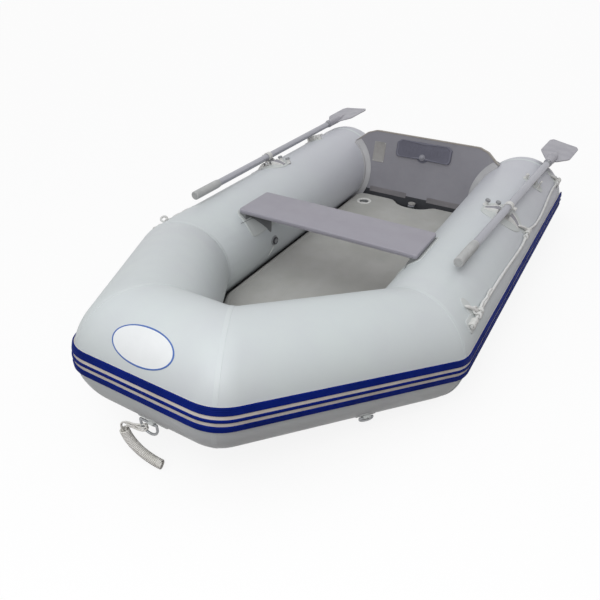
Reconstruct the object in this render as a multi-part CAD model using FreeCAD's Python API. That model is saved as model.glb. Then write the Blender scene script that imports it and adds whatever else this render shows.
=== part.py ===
import FreeCAD, Part
import math
import os

# Inflatable dinghy.  Millimetres, +Z up, bow towards -Y.  The sides are named right (+X) and left (-X), as
# someone who looks aft from the bow sees them.
# The origin lies under the middle of the boat with its oars stowed, on the ground it rests on.

V = FreeCAD.Vector

# ---------------------------------------------------------------- driving dimensions
TUBE_R = 180.0            # outer radius of every buoyancy tube
TUBE_WALL = 1.2           # coated fabric of the tubes
TUBE_SPACING = 936.0      # between the side tubes' centre lines
BOW_WIDTH = 278.0         # centre line of the bow tube, from mitre to mitre
SHOULDER_RUN = 533.0      # fore and aft length of a shoulder tube's centre line
BOW_RISE = 111.0          # how much higher the bow tube lies than the side tubes
SIDE_LEN = 1400.0         # side tube from its mitre to the start of the tail cone
CONE_LEN = 210.0          # tail cone
CONE_TIP_R = 58.0
CAP_THICK = 9.0           # moulded end cap of a tail cone
SKIN_GAP = 0.25           # glued patches stand this far off the surface that carries them
JOINT_GAP = 0.3           # between rigid pieces that only rest on each other
TOUCH = 0.05              # between pieces that are glued or moulded together

STRAKE_BASE = 2.5         # thickness of the rubbing strake's pale base
STRAKE_RIB = 3.0          # height of its blue ribs above the base
STRAKE_TOP_ANGLE = 13.0   # upper edge of the strake on a side tube, above the level of the centre line
STRAKE_BANDS = (("rib", 7.0), ("pale", 3.3), ("rib", 2.8), ("pale", 3.6), ("rib", 5.6))

TRANSOM_RAKE = 14.0
TRANSOM_FWD = 165.0       # front face, at the centre line's height, forward of the tail cone
TRANSOM_THICK = 25.0
TRANSOM_ABOVE = 38.0      # top edge above the side tubes
TRANSOM_CORNER_IN = 100.0  # outer corners, inboard of the tubes' centre lines
TRANSOM_CORNER_DROP = 65.0  # and below the top edge
TRANSOM_SHOULDER = (60.0, 16.0)  # rounded shoulder: in from the corner, and below the top edge
TRANSOM_TOP_IN = 106.0    # the straight part of the top edge starts this far in from the corner
CHANNEL_THICK = 3.0       # rubber channel that holds the board to the tube
CHANNEL_FLANGE = 29.0
CHANNEL_FOOT = 20.0

DECK_TOP = 90.0           # air deck
DECK_THICK = 50.0
DECK_SIDE_GAP = 6.1       # between the deck's edges and the side tubes
DECK_BOW_GAP = 12.0       # between its bow end and the shoulder tubes
DECK_FRONT = 0.40         # front corners, as a share of the shoulder tube's length
DECK_CORNERS = (60.0, 80.0, 40.0)  # radii of its plan, from the stern to the bow
DECK_SKIN = 2.0           # top, bottom and wall of the drop-stitch panel
DECK_GAP = 0.7            # rear edge to the transom strips
DECK_NOTCH_HALF = 95.0
DECK_NOTCH_DEPTH = 59.0
DECK_VALVE_X = -226.0
DECK_VALVE_FWD = 106.0    # from the deck's rear edge
DECK_POCKET_R = 26.0
DECK_POCKET_DEPTH = 34.0
STRIP_THICK = 2.5         # fabric strips along the transom's foot
STRIP_SPANS = ((62.0, 248.0), (-248.0, -48.0))
STRIP_ABOVE = 38.0        # their top above the deck
SKIN_THICK = 1.6          # bottom fabric
SKIN_LOW = 1.0
KEEL_HALF = 75.0
KEEL_SEAT = 0.87          # keel to the bottom fabric
KEEL_FWD = 60.0           # front end, aft of the shoulder mitre
NECK_R = 17.0
VALVE_FLANGE_R = 25.0
VALVE_BORE_R = 9.0
TUBE_VALVE_BODY_R = 15.0
TUBE_VALVE_AFT = 360.0

SEAT_DROP = 8.0           # its top below the side tubes' top
SEAT_THICK = 18.0
SEAT_END_GAP = 7.8        # between its ends and the tubes, at its underside
SEAT_DEPTH = 198.0
SEAT_AFT = 334.0          # seat's middle, aft of the shoulder mitre

ROWLOCK_AFT = 713.0       # rowlock pin, aft of the shoulder mitre
ROWLOCK_LEAN = 20.0       # rowlock's place on the tube, outboard of its top
ROWLOCK_PATCH_GAP = 1.7   # angle between the rowlock's patch and the rope holder's
ROWLOCK_PATCH_HALF = 78.0  # its half length along the tube
PATCH_THICK = 2.4
PLINTH_HALF = 23.0
FIN_TOP = 9.0             # beside the bracket, above the tube
FIN_REACH = 74.0
FIN_OUT = 20.0            # outer faces of a pair of fins, from their middle
FIN_THICK = 5.0
TRUNNION_H = 12.0         # trunnion above the tube
TRUNNION_PIN_R = 3.0
EAR_R = 11.2
EAR_THICK = 7.0
YOKE_R = 9.0
YOKE_HALF = 19.0
STEM_R = 4.8
STUB_PIN_START = 7.0      # the stub pins stop short of the collar's stem
OAR_CLEAR = 0.8           # between the ears and the shaft
FIT = 0.06                # radial clearance of pins and sleeves that turn
SHAFT_R = 14.0
SHAFT_WALL = 1.5
COLLAR_HALF = 12.0
COLLAR_WALL = 4.6
GRIP_WALL = 3.0
GRIP_END = 530.0          # from the pin to the inboard end
GRIP_LEN = 155.0
OAR_TIP = 935.0           # from the pin to the blade's tip
BLADE_LEN = 325.0
BLADE_HALF = 69.0
BLADE_THICK = 5.0
OAR_YAW = {"right": 2.8, "left": 0.6}    # how far each stowed oar points outboard
BLADE_TILT = {"right": 10.0, "left": 5.0}
CLIP_AFT = 412.0          # oar clip, aft of the rowlock
CLIP_CLEAR = 1.8          # room under the stowed shaft, for the rowlock's rocking

ROPE_R = 5.0              # grab line
HOLDER_ANGLE = 33.0       # rope holders, above the level of the tube's centre line
HOLDER_PAD_ANGLE = 7.5    # each side of that
HOLDER_PAD_HALF = 29.0    # half length of its patch
HOLDER_HALF = 20.0        # half length of its tunnel
HOLDER_ROPE_H = 8.6       # rope's axis above the tube, inside a holder
HOLDER_STATIONS = (50.0, 755.0, 1360.0)  # aft of the shoulder mitre
PAINTER_R = 2.5
HANK_R = 14.0

RING_WIRE_R = 2.8
RING_AXIS_H = 7.5
RING_PAD_ANGLE = -38.0
BOW_RING = {"half": 29.0, "drop": 13.0, "pad": 53.0, "shift": 12.0}
TOW_RING = {"half": 20.0, "drop": 8.0, "pad": 34.0, "shift": 0.0}
TOW_RING_PLACE = 0.42     # share of the shoulder tube's length, from its aft mitre

MOTOR_PAD_HALF = 141.0
PAD_THICK = 8.0
PAD_LOW, PAD_HIGH = 102.0, 22.0   # below the board's top edge
BOLT_DOWN = 90.0          # pad bolt, below the board's top edge
BOLT_R = 4.0
WASHER_THICK = 3.0
PLATE_DOWN, PLATE_HEIGHT = 52.0, 96.0     # blank plate, below the board's top edge
PLATE_LEFT, PLATE_WIDTH = -262.0, 62.0
DRAIN_Z = 54.0
DRAIN_R = 13.0

# ---------------------------------------------------------------- places worked out from them
half_spacing = TUBE_SPACING / 2
tube_top = 2 * TUBE_R
transom_top = tube_top + TRANSOM_ABOVE
corner_out = half_spacing - TRANSOM_CORNER_IN
seat_top = tube_top - SEAT_DROP
oar_h = TRUNNION_H + EAR_R + OAR_CLEAR + SHAFT_R    # oar's axis above the tube, at the rowlock
collar_r = SHAFT_R + COLLAR_WALL
mitre_y = 0.0             # while it is built; the finished boat is then moved over the origin
stern_y = mitre_y + SIDE_LEN

mitre_point = V(half_spacing, mitre_y, TUBE_R)
bow_point = V(BOW_WIDTH / 2, mitre_y - SHOULDER_RUN, TUBE_R + BOW_RISE)
stern_point = V(half_spacing, stern_y, TUBE_R)


def unit(v):
    return v * (1.0 / v.Length)


class Segment:
    """A straight tube of the right-hand side: start, direction, and its outward and upward normals."""

    def __init__(self, start, end):
        self.start, self.end = start, end
        self.along = unit(end - start)
        self.out = unit(self.along.cross(V(0, 0, 1)))
        if self.out.dot(V(1, -1, 0)) < 0:
            self.out = self.out * -1
        self.up = self.along.cross(self.out)
        if self.up.z < 0:
            self.up = self.up * -1

    def normal(self, angle):
        a = math.radians(angle)
        return self.out * math.cos(a) + self.up * math.sin(a)

    def at(self, run, angle, radius):
        return self.start + self.along * run + self.normal(angle) * radius


side = Segment(stern_point, mitre_point)
shoulder = Segment(mitre_point, bow_point)
bow = Segment(bow_point, V(-bow_point.x, bow_point.y, bow_point.z))
side_mitre = unit(side.along + shoulder.along)
bow_mitre = unit(shoulder.along + bow.along)


# ---------------------------------------------------------------- shape helpers
def mirrored(shape):
    return shape.mirror(V(0, 0, 0), V(1, 0, 0))


def flip(point):
    return V(-point.x, point.y, point.z)


def rod(start, end, radius):
    return Part.makeCylinder(radius, (end - start).Length, start, end - start)


def box(low, high):
    return Part.makeBox(high[0] - low[0], high[1] - low[1], high[2] - low[2], V(*low))


def placed(shape, origin, x_dir, y_dir):
    """Move a shape made at the origin so that its X and Y axes follow x_dir and y_dir."""
    x = unit(x_dir)
    z = unit(x.cross(y_dir))
    y = z.cross(x)
    m = FreeCAD.Matrix(x.x, y.x, z.x, origin.x, x.y, y.y, z.y, origin.y, x.z, y.z, z.z, origin.z, 0, 0, 0, 1)
    return shape.transformed(m)


def half_space(point, normal):
    size = 5000.0
    block = Part.makeBox(size, size, size, V(-size / 2, -size / 2, 0))
    helper = V(0, 0, 1) if abs(normal.z) < 0.9 else V(1, 0, 0)
    x_dir = unit(helper.cross(normal))
    return placed(block, point, x_dir, normal.cross(x_dir))


def fuse(shapes):
    first, rest = shapes[0], list(shapes[1:])
    return first.fuse(rest).removeSplitter() if rest else first


def cut(shape, tools):
    for tool in tools:
        shape = shape.cut(tool)
    return shape


def rounded_face(points, radii):
    """A flat face in the XY plane through (x, y) corners, each rounded by its radius."""
    corners = [V(x, y, 0) for x, y in points]
    count = len(corners)
    ends = []
    for i, corner in enumerate(corners):
        before, after = unit(corners[i - 1] - corner), unit(corners[(i + 1) % count] - corner)
        half = before.getAngle(after) / 2
        back = radii[i] / math.tan(half)
        middle = corner + unit(before + after) * (radii[i] / math.sin(half) - radii[i])
        ends.append((corner + before * back, middle, corner + after * back, radii[i] > 0))
    edges = []
    for i, (start, middle, end, rounded) in enumerate(ends):
        if rounded:
            edges.append(Part.Arc(start, middle, end).toShape())
        edges.append(Part.LineSegment(end, ends[(i + 1) % count][0]).toShape())
    return Part.Face(Part.Wire(edges))


def plate(points, radii, thick, z=0.0):
    face = rounded_face(points, radii)
    face.translate(V(0, 0, z))
    return face.extrude(V(0, 0, thick))


def lens(half_x, half_y, thick, z=0.0):
    """A flat oval plate."""
    long_x = half_x >= half_y
    oval = Part.Ellipse(V(0, 0, 0), max(half_x, half_y), min(half_x, half_y)).toShape()
    face = Part.Face(Part.Wire([oval]))
    if not long_x:
        face.rotate(V(0, 0, 0), V(0, 0, 1), 90)
    face.translate(V(0, 0, z))
    return face.extrude(V(0, 0, thick))


def sector(segment, low, high, inner, outer, start, end):
    """A band that lies on a tube: between two angles and two radii, along a stretch of its centre line."""
    middle = (low + high) / 2
    corner = {(r, a): segment.at(start, a, r) for r in (inner, outer) for a in (low, middle, high)}
    edges = [Part.Arc(corner[inner, low], corner[inner, middle], corner[inner, high]).toShape(),
             Part.LineSegment(corner[inner, high], corner[outer, high]).toShape(),
             Part.Arc(corner[outer, high], corner[outer, middle], corner[outer, low]).toShape(),
             Part.LineSegment(corner[outer, low], corner[inner, low]).toShape()]
    return Part.Face(Part.Wire(edges)).extrude(segment.along * (end - start))


def cord_tube(name, points, radius, limp=False):
    """A tube along straight runs joined by tangent arcs, each as large as its two runs allow."""
    edges, radii, start = [], [], points[0]
    for before, corner, after in zip(points, points[1:], points[2:]):
        back, ahead = unit(before - corner), unit(after - corner)
        half_turn = (math.pi - back.getAngle(ahead)) / 2
        reach = 0.45 * min((before - corner).Length, (after - corner).Length)
        bend = reach / math.tan(half_turn)
        radii.append(bend)
        centre = corner + unit(back + ahead) * (bend / math.cos(half_turn))
        arc_start, arc_end = corner + back * reach, corner + ahead * reach
        middle = centre + unit(corner - centre) * bend
        edges.append(Part.LineSegment(start, arc_start).toShape())
        edges.append(Part.Arc(arc_start, middle, arc_end).toShape())
        start = arc_end
    edges.append(Part.LineSegment(start, points[-1]).toShape())
    path = Part.Wire(edges)
    ring = Part.Wire([Part.Circle(points[0], points[1] - points[0], radius).toShape()])
    tube = path.makePipeShell([ring], True, False)
    expected = math.pi * radius ** 2 * path.Length
    least = (3 if limp else 5) * 2 * radius
    print("%s: length %.0f, tightest bend %.0f (least %.0f), volume ratio %.4f"
          % (name, path.Length, min(radii), least, tube.Volume / expected))
    return tube


parts = {}


def add(name, *solids):
    """Keep a node: one shape, or a group of separate solids."""
    flat = [s for shape in solids for s in shape.Solids]
    parts[name] = flat[0] if len(flat) == 1 else Part.makeCompound(flat)


def add_pair(name, shape):
    add(name + "_right", shape)
    add(name + "_left", mirrored(shape))


# ---------------------------------------------------------------- buoyancy tubes
def side_tube():
    reach = side.along * (2 * TUBE_R)
    tip = stern_point + V(0, CONE_LEN, 0)
    shells = []
    for inset in (0.0, TUBE_WALL):
        r, r_tip = TUBE_R - inset, CONE_TIP_R - inset
        body = rod(stern_point, mitre_point + reach, r).cut(half_space(mitre_point, side_mitre))
        shells.append(body.fuse(Part.makeCone(r, r_tip, CONE_LEN, stern_point, tip - stern_point)))
    valve = tube_valve_point()
    hole = rod(valve + V(40, 0, 0), valve - V(40, 0, 0), TUBE_VALVE_BODY_R + JOINT_GAP)
    return shells[0].cut(shells[1]).cut(hole)


def shoulder_tube():
    reach = shoulder.along * (2 * TUBE_R)
    ends = [half_space(mitre_point, side_mitre * -1), half_space(bow_point, bow_mitre)]
    outer, inner = [cut(rod(mitre_point - reach, bow_point + reach, r), ends)
                    for r in (TUBE_R, TUBE_R - TUBE_WALL)]
    return outer.cut(inner)


def bow_tube():
    reach = V(2 * TUBE_R, 0, 0)
    ends = [half_space(bow_point, bow_mitre * -1), half_space(flip(bow_point), flip(bow_mitre) * -1)]
    outer, inner = [cut(rod(bow_point + reach, flip(bow_point) - reach, r), ends)
                    for r in (TUBE_R, TUBE_R - TUBE_WALL)]
    return outer.cut(inner)


def baffle():
    """Membrane between the side and bow air chambers, in the mitre."""
    reach = shoulder.along * (2 * TUBE_R)
    inside = rod(mitre_point - reach, mitre_point + reach, TUBE_R - TUBE_WALL)
    return cut(inside, [half_space(mitre_point, side_mitre * -1),
                        half_space(mitre_point + side_mitre * TUBE_WALL, side_mitre)])


def end_cap():
    base = stern_point + V(0, CONE_LEN, 0)
    rim = Part.makeCylinder(CONE_TIP_R + 4, CAP_THICK, base + V(0, JOINT_GAP, 0), V(0, 1, 0))
    return rim.makeFillet(3.0, [rim.Edges[0], rim.Edges[2]])


def tube_inner_x(z):
    """Where the right tube's inboard face is, at a height."""
    return half_spacing - math.sqrt(TUBE_R ** 2 - (z - TUBE_R) ** 2)


def tube_valve_point():
    return V(half_spacing - TUBE_R, mitre_y + TUBE_VALVE_AFT, TUBE_R)


def tube_valve():
    """Inflation valve of the right tube, on its inboard face: flange outside, barrel through the wall."""
    p = tube_valve_point() - V(JOINT_GAP, 0, 0)
    flange = rod(p, p - V(4, 0, 0), 24.0)
    barrel = rod(p + V(32, 0, 0), p - V(4, 0, 0), TUBE_VALVE_BODY_R)
    bore = rod(p + V(40, 0, 0), p - V(10, 0, 0), VALVE_BORE_R)
    return flange.fuse(barrel).cut(bore).removeSplitter()


def tube_valve_cap():
    p = tube_valve_point() - V(2 * JOINT_GAP + 4, 0, 0)
    cap = rod(p, p - V(9, 0, 0), 19.0)
    plug = rod(p + V(12, 0, 0), p, VALVE_BORE_R - FIT)
    grip = box((p.x - 15, p.y - 16, p.z - 2.5), (p.x - 8.5, p.y + 16, p.z + 2.5))
    return fuse([cap, plug, grip])


# ---------------------------------------------------------------- rubbing strake
def across_mitre(angle, joint, normal, before, after):
    """The angle on the next tube at which a line along this one goes on, past the mitre."""
    p = before.normal(angle) * TUBE_R
    p = p - before.along * (p.dot(normal) / before.along.dot(normal))
    return math.degrees(math.atan2(p.dot(after.up), p.dot(after.out)))


def strake_angles():
    """Upper and lower edge of each band on the side, shoulder and bow tubes."""
    edges, angle = [STRAKE_TOP_ANGLE], STRAKE_TOP_ANGLE
    for _, width in STRAKE_BANDS:
        angle -= width
        edges.append(angle)
    on_shoulder = [across_mitre(a, mitre_point, side_mitre, side, shoulder) for a in edges]
    on_bow = [across_mitre(a, bow_point, bow_mitre, shoulder, bow) for a in on_shoulder]
    return edges, on_shoulder, on_bow


def strake_band(index_top, index_low, inner, outer):
    """One band all the way round, as five lengths that meet in the mitres."""
    on_side, on_shoulder, on_bow = strake_angles()
    over = 2.2 * TUBE_R
    length = {s: (s.end - s.start).Length for s in (side, shoulder, bow)}
    run = sector(side, on_side[index_low], on_side[index_top], inner, outer, 4.0, length[side] + over)
    run = run.cut(half_space(mitre_point, side_mitre))
    turn = sector(shoulder, on_shoulder[index_low], on_shoulder[index_top], inner, outer,
                  -over, length[shoulder] + over)
    turn = cut(turn, [half_space(mitre_point, side_mitre * -1), half_space(bow_point, bow_mitre)])
    front = sector(bow, on_bow[index_low], on_bow[index_top], inner, outer, -over, length[bow] + over)
    front = cut(front, [half_space(bow_point, bow_mitre * -1),
                        half_space(flip(bow_point), flip(bow_mitre) * -1)])
    return fuse([run, turn, front, mirrored(turn), mirrored(run)])


def strake():
    base_out = TUBE_R + SKIN_GAP + STRAKE_BASE
    base = strake_band(0, len(STRAKE_BANDS), TUBE_R + SKIN_GAP, base_out)
    ribs = [strake_band(i, i + 1, base_out + TOUCH, base_out + STRAKE_RIB)
            for i, (kind, _) in enumerate(STRAKE_BANDS) if kind == "rib"]
    return base, ribs


# ---------------------------------------------------------------- transom
transom_point = V(0, stern_y - TRANSOM_FWD, TUBE_R)
rake = math.radians(TRANSOM_RAKE)


def on_board(shape):
    """From the board's own frame (X across, Y aft, Z up the board) to the boat's."""
    return placed(shape, transom_point, V(1, 0, 0), V(0, math.cos(rake), -math.sin(rake)))


def up_board(z):
    return (z - TUBE_R) / math.cos(rake)


def prism(points, radii, front, back):
    """A plate with its outline in the board's X and Z, between two depths."""
    shape = plate([(x, up_board(z)) for x, z in points], radii, back - front)
    shape.rotate(V(0, 0, 0), V(1, 0, 0), 90)
    shape.translate(V(0, back, 0))
    return on_board(shape)


def board_rod(x, z, front, back, radius):
    start = V(x, front, up_board(z))
    return on_board(Part.makeCylinder(radius, back - front, start, V(0, 1, 0)))


def tube_bores(extra):
    """Both side tubes with a clearance, as cutters."""
    cutter = rod(mitre_point - V(0, 200, 0), stern_point + V(0, 400, 0), TUBE_R + extra)
    return [cutter, mirrored(cutter)]


bolt_z = transom_top - BOLT_DOWN


def transom_board():
    shoulder_in, shoulder_drop = TRANSOM_SHOULDER
    low = SKIN_LOW + SKIN_THICK + JOINT_GAP + TRANSOM_THICK * math.sin(rake)
    edge_low = low + skin_z(corner_out) - SKIN_LOW
    right = [(corner_out, transom_top - TRANSOM_CORNER_DROP),
             (corner_out - shoulder_in, transom_top - shoulder_drop),
             (corner_out - TRANSOM_TOP_IN, transom_top)]
    left = [(-x, z) for x, z in reversed(right)]
    outline = [(0, low), (corner_out, edge_low)] + right + left + [(-corner_out, edge_low)]
    board = prism(outline, [0, 0, 0, 26, 40, 40, 26, 0, 0], 0, TRANSOM_THICK)
    board = cut(board, tube_bores(SKIN_GAP + CHANNEL_THICK + JOINT_GAP))
    holes = [board_rod(0, DRAIN_Z, -1, TRANSOM_THICK + 1, DRAIN_R + JOINT_GAP),
             board_rod(0, bolt_z, -1, TRANSOM_THICK + 1, BOLT_R + FIT)]
    return cut(board, holes)


def transom_channel():
    """Rubber channel on the right tube: a foot along the tube and a flange on each face of the board."""
    inner = TUBE_R + SKIN_GAP
    tube = [mitre_point, stern_point + V(0, 400, 0)]
    hollow = rod(tube[0], tube[1], inner)
    foot = rod(tube[0], tube[1], inner + CHANNEL_THICK).cut(hollow)
    wide = rod(tube[0], tube[1], inner + CHANNEL_FLANGE).cut(hollow)

    def slab(front, back):
        half = 600.0
        return on_board(Part.makeBox(2 * half, back - front, 2 * half, V(-half, front, -half)))

    front, back = -JOINT_GAP, TRANSOM_THICK + JOINT_GAP
    bands = [foot.common(slab(front - CHANNEL_FOOT, back + CHANNEL_FOOT)),
             wide.common(slab(front - CHANNEL_THICK, front)),
             wide.common(slab(back, back + CHANNEL_THICK))]
    keep = box((corner_out - 250, stern_y - 300, skin_z(corner_out) + 6),
               (corner_out + 2, stern_y + 20, tube_top - 38))
    return fuse(bands).common(keep)


def transom_strips():
    """Fabric strips that join the board's foot to the bottom, each side of the drain."""
    z_top = DECK_TOP + STRIP_ABOVE
    strips = []
    for inner, outer in STRIP_SPANS:
        low = max(skin_z(inner), skin_z(outer)) + SKIN_THICK + 2
        outline = [(inner, low), (outer, low), (outer, z_top), (inner, z_top)]
        strips.append(prism(outline, [0, 0, 8, 8], -JOINT_GAP - STRIP_THICK, -JOINT_GAP))
    return strips


def motor_pad(front, thick):
    h, low, high = MOTOR_PAD_HALF, transom_top - PAD_LOW, transom_top - PAD_HIGH
    outline = [(-h + 9, low), (h - 9, low), (h, low + 12), (h, high - 14), (h - 20, high),
               (-h + 20, high), (-h, high - 14), (-h, low + 12)]
    pad = prism(outline, [5, 5, 4, 6, 8, 8, 6, 4], front, front + thick)
    return pad.cut(board_rod(0, bolt_z, front - 1, front + thick + 1, BOLT_R + FIT))


def pad_bolt():
    head = -JOINT_GAP - PAD_THICK - JOINT_GAP - WASHER_THICK - JOINT_GAP
    tail = TRANSOM_THICK + JOINT_GAP + PAD_THICK
    bolt = fuse([board_rod(0, bolt_z, head - 6, head, 10.0),
                 board_rod(0, bolt_z, head, tail + 12, BOLT_R)])
    washer = board_rod(0, bolt_z, head + JOINT_GAP, head + JOINT_GAP + WASHER_THICK, 15.0)
    nut = board_rod(0, bolt_z, tail + JOINT_GAP, tail + 8, 9.0)
    hole = board_rod(0, bolt_z, head - 1, tail + 12, BOLT_R + FIT)
    return bolt, washer.cut(hole), nut.cut(hole)


def blank_plate():
    left, right = PLATE_LEFT, PLATE_LEFT + PLATE_WIDTH
    high = transom_top - PLATE_DOWN
    low = high - PLATE_HEIGHT
    outline = [(left, low), (right, low), (right, high), (left, high)]
    return prism(outline, [3] * 4, -JOINT_GAP - 1, -JOINT_GAP)


def drain_tube():
    back = TRANSOM_THICK + JOINT_GAP
    barrel = board_rod(0, DRAIN_Z, -JOINT_GAP - 2.5, back + 3, DRAIN_R)
    flanges = [board_rod(0, DRAIN_Z, -JOINT_GAP - 2.5, -JOINT_GAP, 22.0),
               board_rod(0, DRAIN_Z, back, back + 3, 24.0)]
    return fuse([barrel] + flanges).cut(board_rod(0, DRAIN_Z, -10, TRANSOM_THICK + 35, VALVE_BORE_R))


def drain_plug():
    back = TRANSOM_THICK + 2 * JOINT_GAP + 3
    stem = board_rod(0, DRAIN_Z, back - 18, back, VALVE_BORE_R - FIT)
    head = board_rod(0, DRAIN_Z, back, back + 6, 17.0)
    wing = on_board(Part.makeBox(26, 9, 5, V(-13, back + 5.5, up_board(DRAIN_Z) - 2.5)))
    return fuse([stem, head, wing])


# ---------------------------------------------------------------- bottom, keel and air deck
SKIN_HALF = half_spacing - (TUBE_R + SKIN_GAP) * math.cos(math.radians(60))
SKIN_EDGE_Z = TUBE_R - (TUBE_R + SKIN_GAP + SKIN_THICK) * math.sin(math.radians(60))


def skin_z(x):
    """Underside of the bottom fabric, which makes a shallow V between the side tubes."""
    return SKIN_LOW + (SKIN_EDGE_Z - SKIN_LOW) * abs(x) / SKIN_HALF


def skin_panel(rows):
    """A folded sheet through rows of right-edge and centre points, thick enough to be a solid."""
    def quads(lift):
        grid = [[edge + lift, middle + lift, flip(edge) + lift] for edge, middle in rows]
        for a, b in zip(grid, grid[1:]):
            for i in (0, 1):
                yield (a[i], a[i + 1], b[i + 1])
                yield (a[i], b[i + 1], b[i])

    low, high = V(0, 0, 0), V(0, 0, SKIN_THICK)
    faces = [Part.Face(Part.makePolygon(list(t) + [t[0]])) for lift in (low, high) for t in quads(lift)]
    rim = [row[0] for row in rows] + [rows[-1][1]] + [flip(row[0]) for row in reversed(rows)] + [rows[0][1]]
    for p, q in zip(rim, rim[1:] + rim[:1]):
        faces.append(Part.Face(Part.makePolygon([p, q, q + high, p])))
        faces.append(Part.Face(Part.makePolygon([p, q + high, p + high, p])))
    solid = Part.Solid(Part.makeShell(faces))
    if solid.Volume < 0:
        solid.reverse()
    return solid


def bottom_panels():
    """Aft panel between the side tubes, and the bow panel that rises under the shoulders to the bow tube."""
    edge = V(SKIN_HALF, 0, SKIN_EDGE_Z)
    aft = [(V(edge.x, y, edge.z), V(0, y, SKIN_LOW)) for y in (transom_point.y + 8, mitre_y)]
    fore = [(V(edge.x, mitre_y - JOINT_GAP, edge.z), V(0, mitre_y - JOINT_GAP, SKIN_LOW))]
    run = (shoulder.end - shoulder.start).Length
    for share, angle, lift in BOW_PANEL_ROWS:
        p = shoulder.at(share * run, angle, TUBE_R + SKIN_GAP + 1.0)
        fore.append((V(p.x, p.y, p.z - SKIN_THICK), V(0, p.y, SKIN_LOW + lift)))
    return skin_panel(aft), skin_panel(fore)


# The bow panel's rows: share of the shoulder tube's length, angle on the tube, rise of the panel's middle.
BOW_PANEL_ROWS = ((0.12, 247.0, 0.5), (0.24, 254.0, 1.5), (0.36, 262.0, 4.0), (0.48, 262.0, 13.0),
                  (0.62, 262.0, 35.0), (0.80, 262.0, 71.0), (0.97, 262.0, 105.0))
NECK_TOP = DECK_TOP - 3.0


def keel_heights():
    """Lowest and highest point of the keel, whose lower corners come nearest to the bottom fabric."""
    top = DECK_TOP - DECK_THICK - JOINT_GAP
    slope = (SKIN_EDGE_Z - SKIN_LOW) / SKIN_HALF
    low = SKIN_LOW + SKIN_THICK + KEEL_SEAT + slope * (KEEL_HALF - top / 2)
    return low / (1 - slope / 2), top


def keel():
    """Inflatable keel, pressed flat under the deck, with the neck that carries its valve behind the deck."""
    shells = []
    for inset in (0.0, TUBE_WALL):
        low, top = keel_heights()[0] + inset, keel_heights()[1] - inset
        half, r = KEEL_HALF - inset, (top - low) / 2 - 0.01
        section = rounded_face([(-half, low), (half, low), (half, top), (-half, top)], [r] * 4)
        section.rotate(V(0, 0, 0), V(1, 0, 0), 90)
        front, rear = mitre_y + KEEL_FWD + inset, board_face(keel_heights()[0]) - JOINT_GAP - inset
        section.translate(V(0, front, 0))
        lean = V(0, math.sin(rake), math.cos(rake))
        neck = rod(neck_point() - lean * (NECK_TOP - low - 8), neck_point() + lean * 20, NECK_R - inset)
        neck = neck.cut(half_space(V(0, 0, NECK_TOP - inset), V(0, 0, 1)))
        shells.append(fuse([section.extrude(V(0, rear - front, 0)), neck]))
    return shells[0].cut(shells[1])


def board_face(z):
    """Where the fabric strips on the board's front are, at a height."""
    return transom_point.y + (z - TUBE_R) * math.tan(rake) - (JOINT_GAP + STRIP_THICK) / math.cos(rake)


def deck_rear():
    return board_face(DECK_TOP) - DECK_GAP


def neck_point():
    return V(0, board_face(NECK_TOP) - VALVE_FLANGE_R - 1, NECK_TOP)


def keel_valve():
    p = neck_point() + V(0, 0, JOINT_GAP)
    body = fuse([Part.makeCylinder(VALVE_FLANGE_R, 3, p), Part.makeCylinder(16.0, 6, p)])
    return body.cut(Part.makeCylinder(VALVE_BORE_R, 20, p - V(0, 0, 1)))


def keel_valve_cap():
    p = neck_point() + V(0, 0, 2 * JOINT_GAP + 6)
    cap = Part.makeCylinder(18.0, 4, p)
    stem = Part.makeCylinder(VALVE_BORE_R - FIT, 5, p - V(0, 0, 5))
    grip = box((p.x - 13, p.y - 2.5, p.z + 3.5), (p.x + 13, p.y + 2.5, p.z + 7))
    return fuse([cap, stem, grip])


def deck_valve_point():
    return V(DECK_VALVE_X, deck_rear() - DECK_VALVE_FWD, DECK_TOP)


def air_deck():
    """High-pressure floor panel: straight sides, a tapered bow end, and a notch round the keel valve."""
    rear = deck_rear()
    deck_half = tube_inner_x(DECK_TOP) - DECK_SIDE_GAP

    def beside_shoulder(share):
        axis = shoulder.start + (shoulder.end - shoulder.start) * share
        drop = axis.z - DECK_TOP
        aside = math.sqrt(TUBE_R ** 2 - drop ** 2) + DECK_BOW_GAP
        return axis - unit(V(shoulder.out.x, shoulder.out.y, 0)) * aside

    near, far = beside_shoulder(0.0), beside_shoulder(DECK_FRONT)
    slope = (near.y - far.y) / (near.x - far.x)
    board_normal = V(0, math.cos(rake), -math.sin(rake))
    shells = []
    for inset in (0.0, DECK_SKIN):
        half, front_half, front = deck_half - inset, far.x - inset, far.y + inset
        turn_y = far.y + (deck_half - far.x) * slope + inset
        right = [(half, rear - inset), (half, turn_y), (front_half, front)]
        outline = right + [(-x, y) for x, y in reversed(right)]
        thick = DECK_THICK - 2 * inset
        panel = plate(outline, DECK_CORNERS + DECK_CORNERS[::-1], thick, DECK_TOP - DECK_THICK + inset)
        notch = lens(DECK_NOTCH_HALF + inset, DECK_NOTCH_DEPTH + inset, DECK_THICK + 2)
        notch.translate(V(0, rear, DECK_TOP - DECK_THICK - 1))
        pocket = Part.makeCylinder(DECK_POCKET_R + JOINT_GAP + inset, DECK_POCKET_DEPTH + 3 + inset,
                                   deck_valve_point() - V(0, 0, DECK_POCKET_DEPTH + 2 + inset))
        wall = half_space(V(0, rear - inset, DECK_TOP), board_normal)
        shells.append(cut(panel, [notch, pocket, wall]))
    return shells[0].cut(shells[1])


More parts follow.
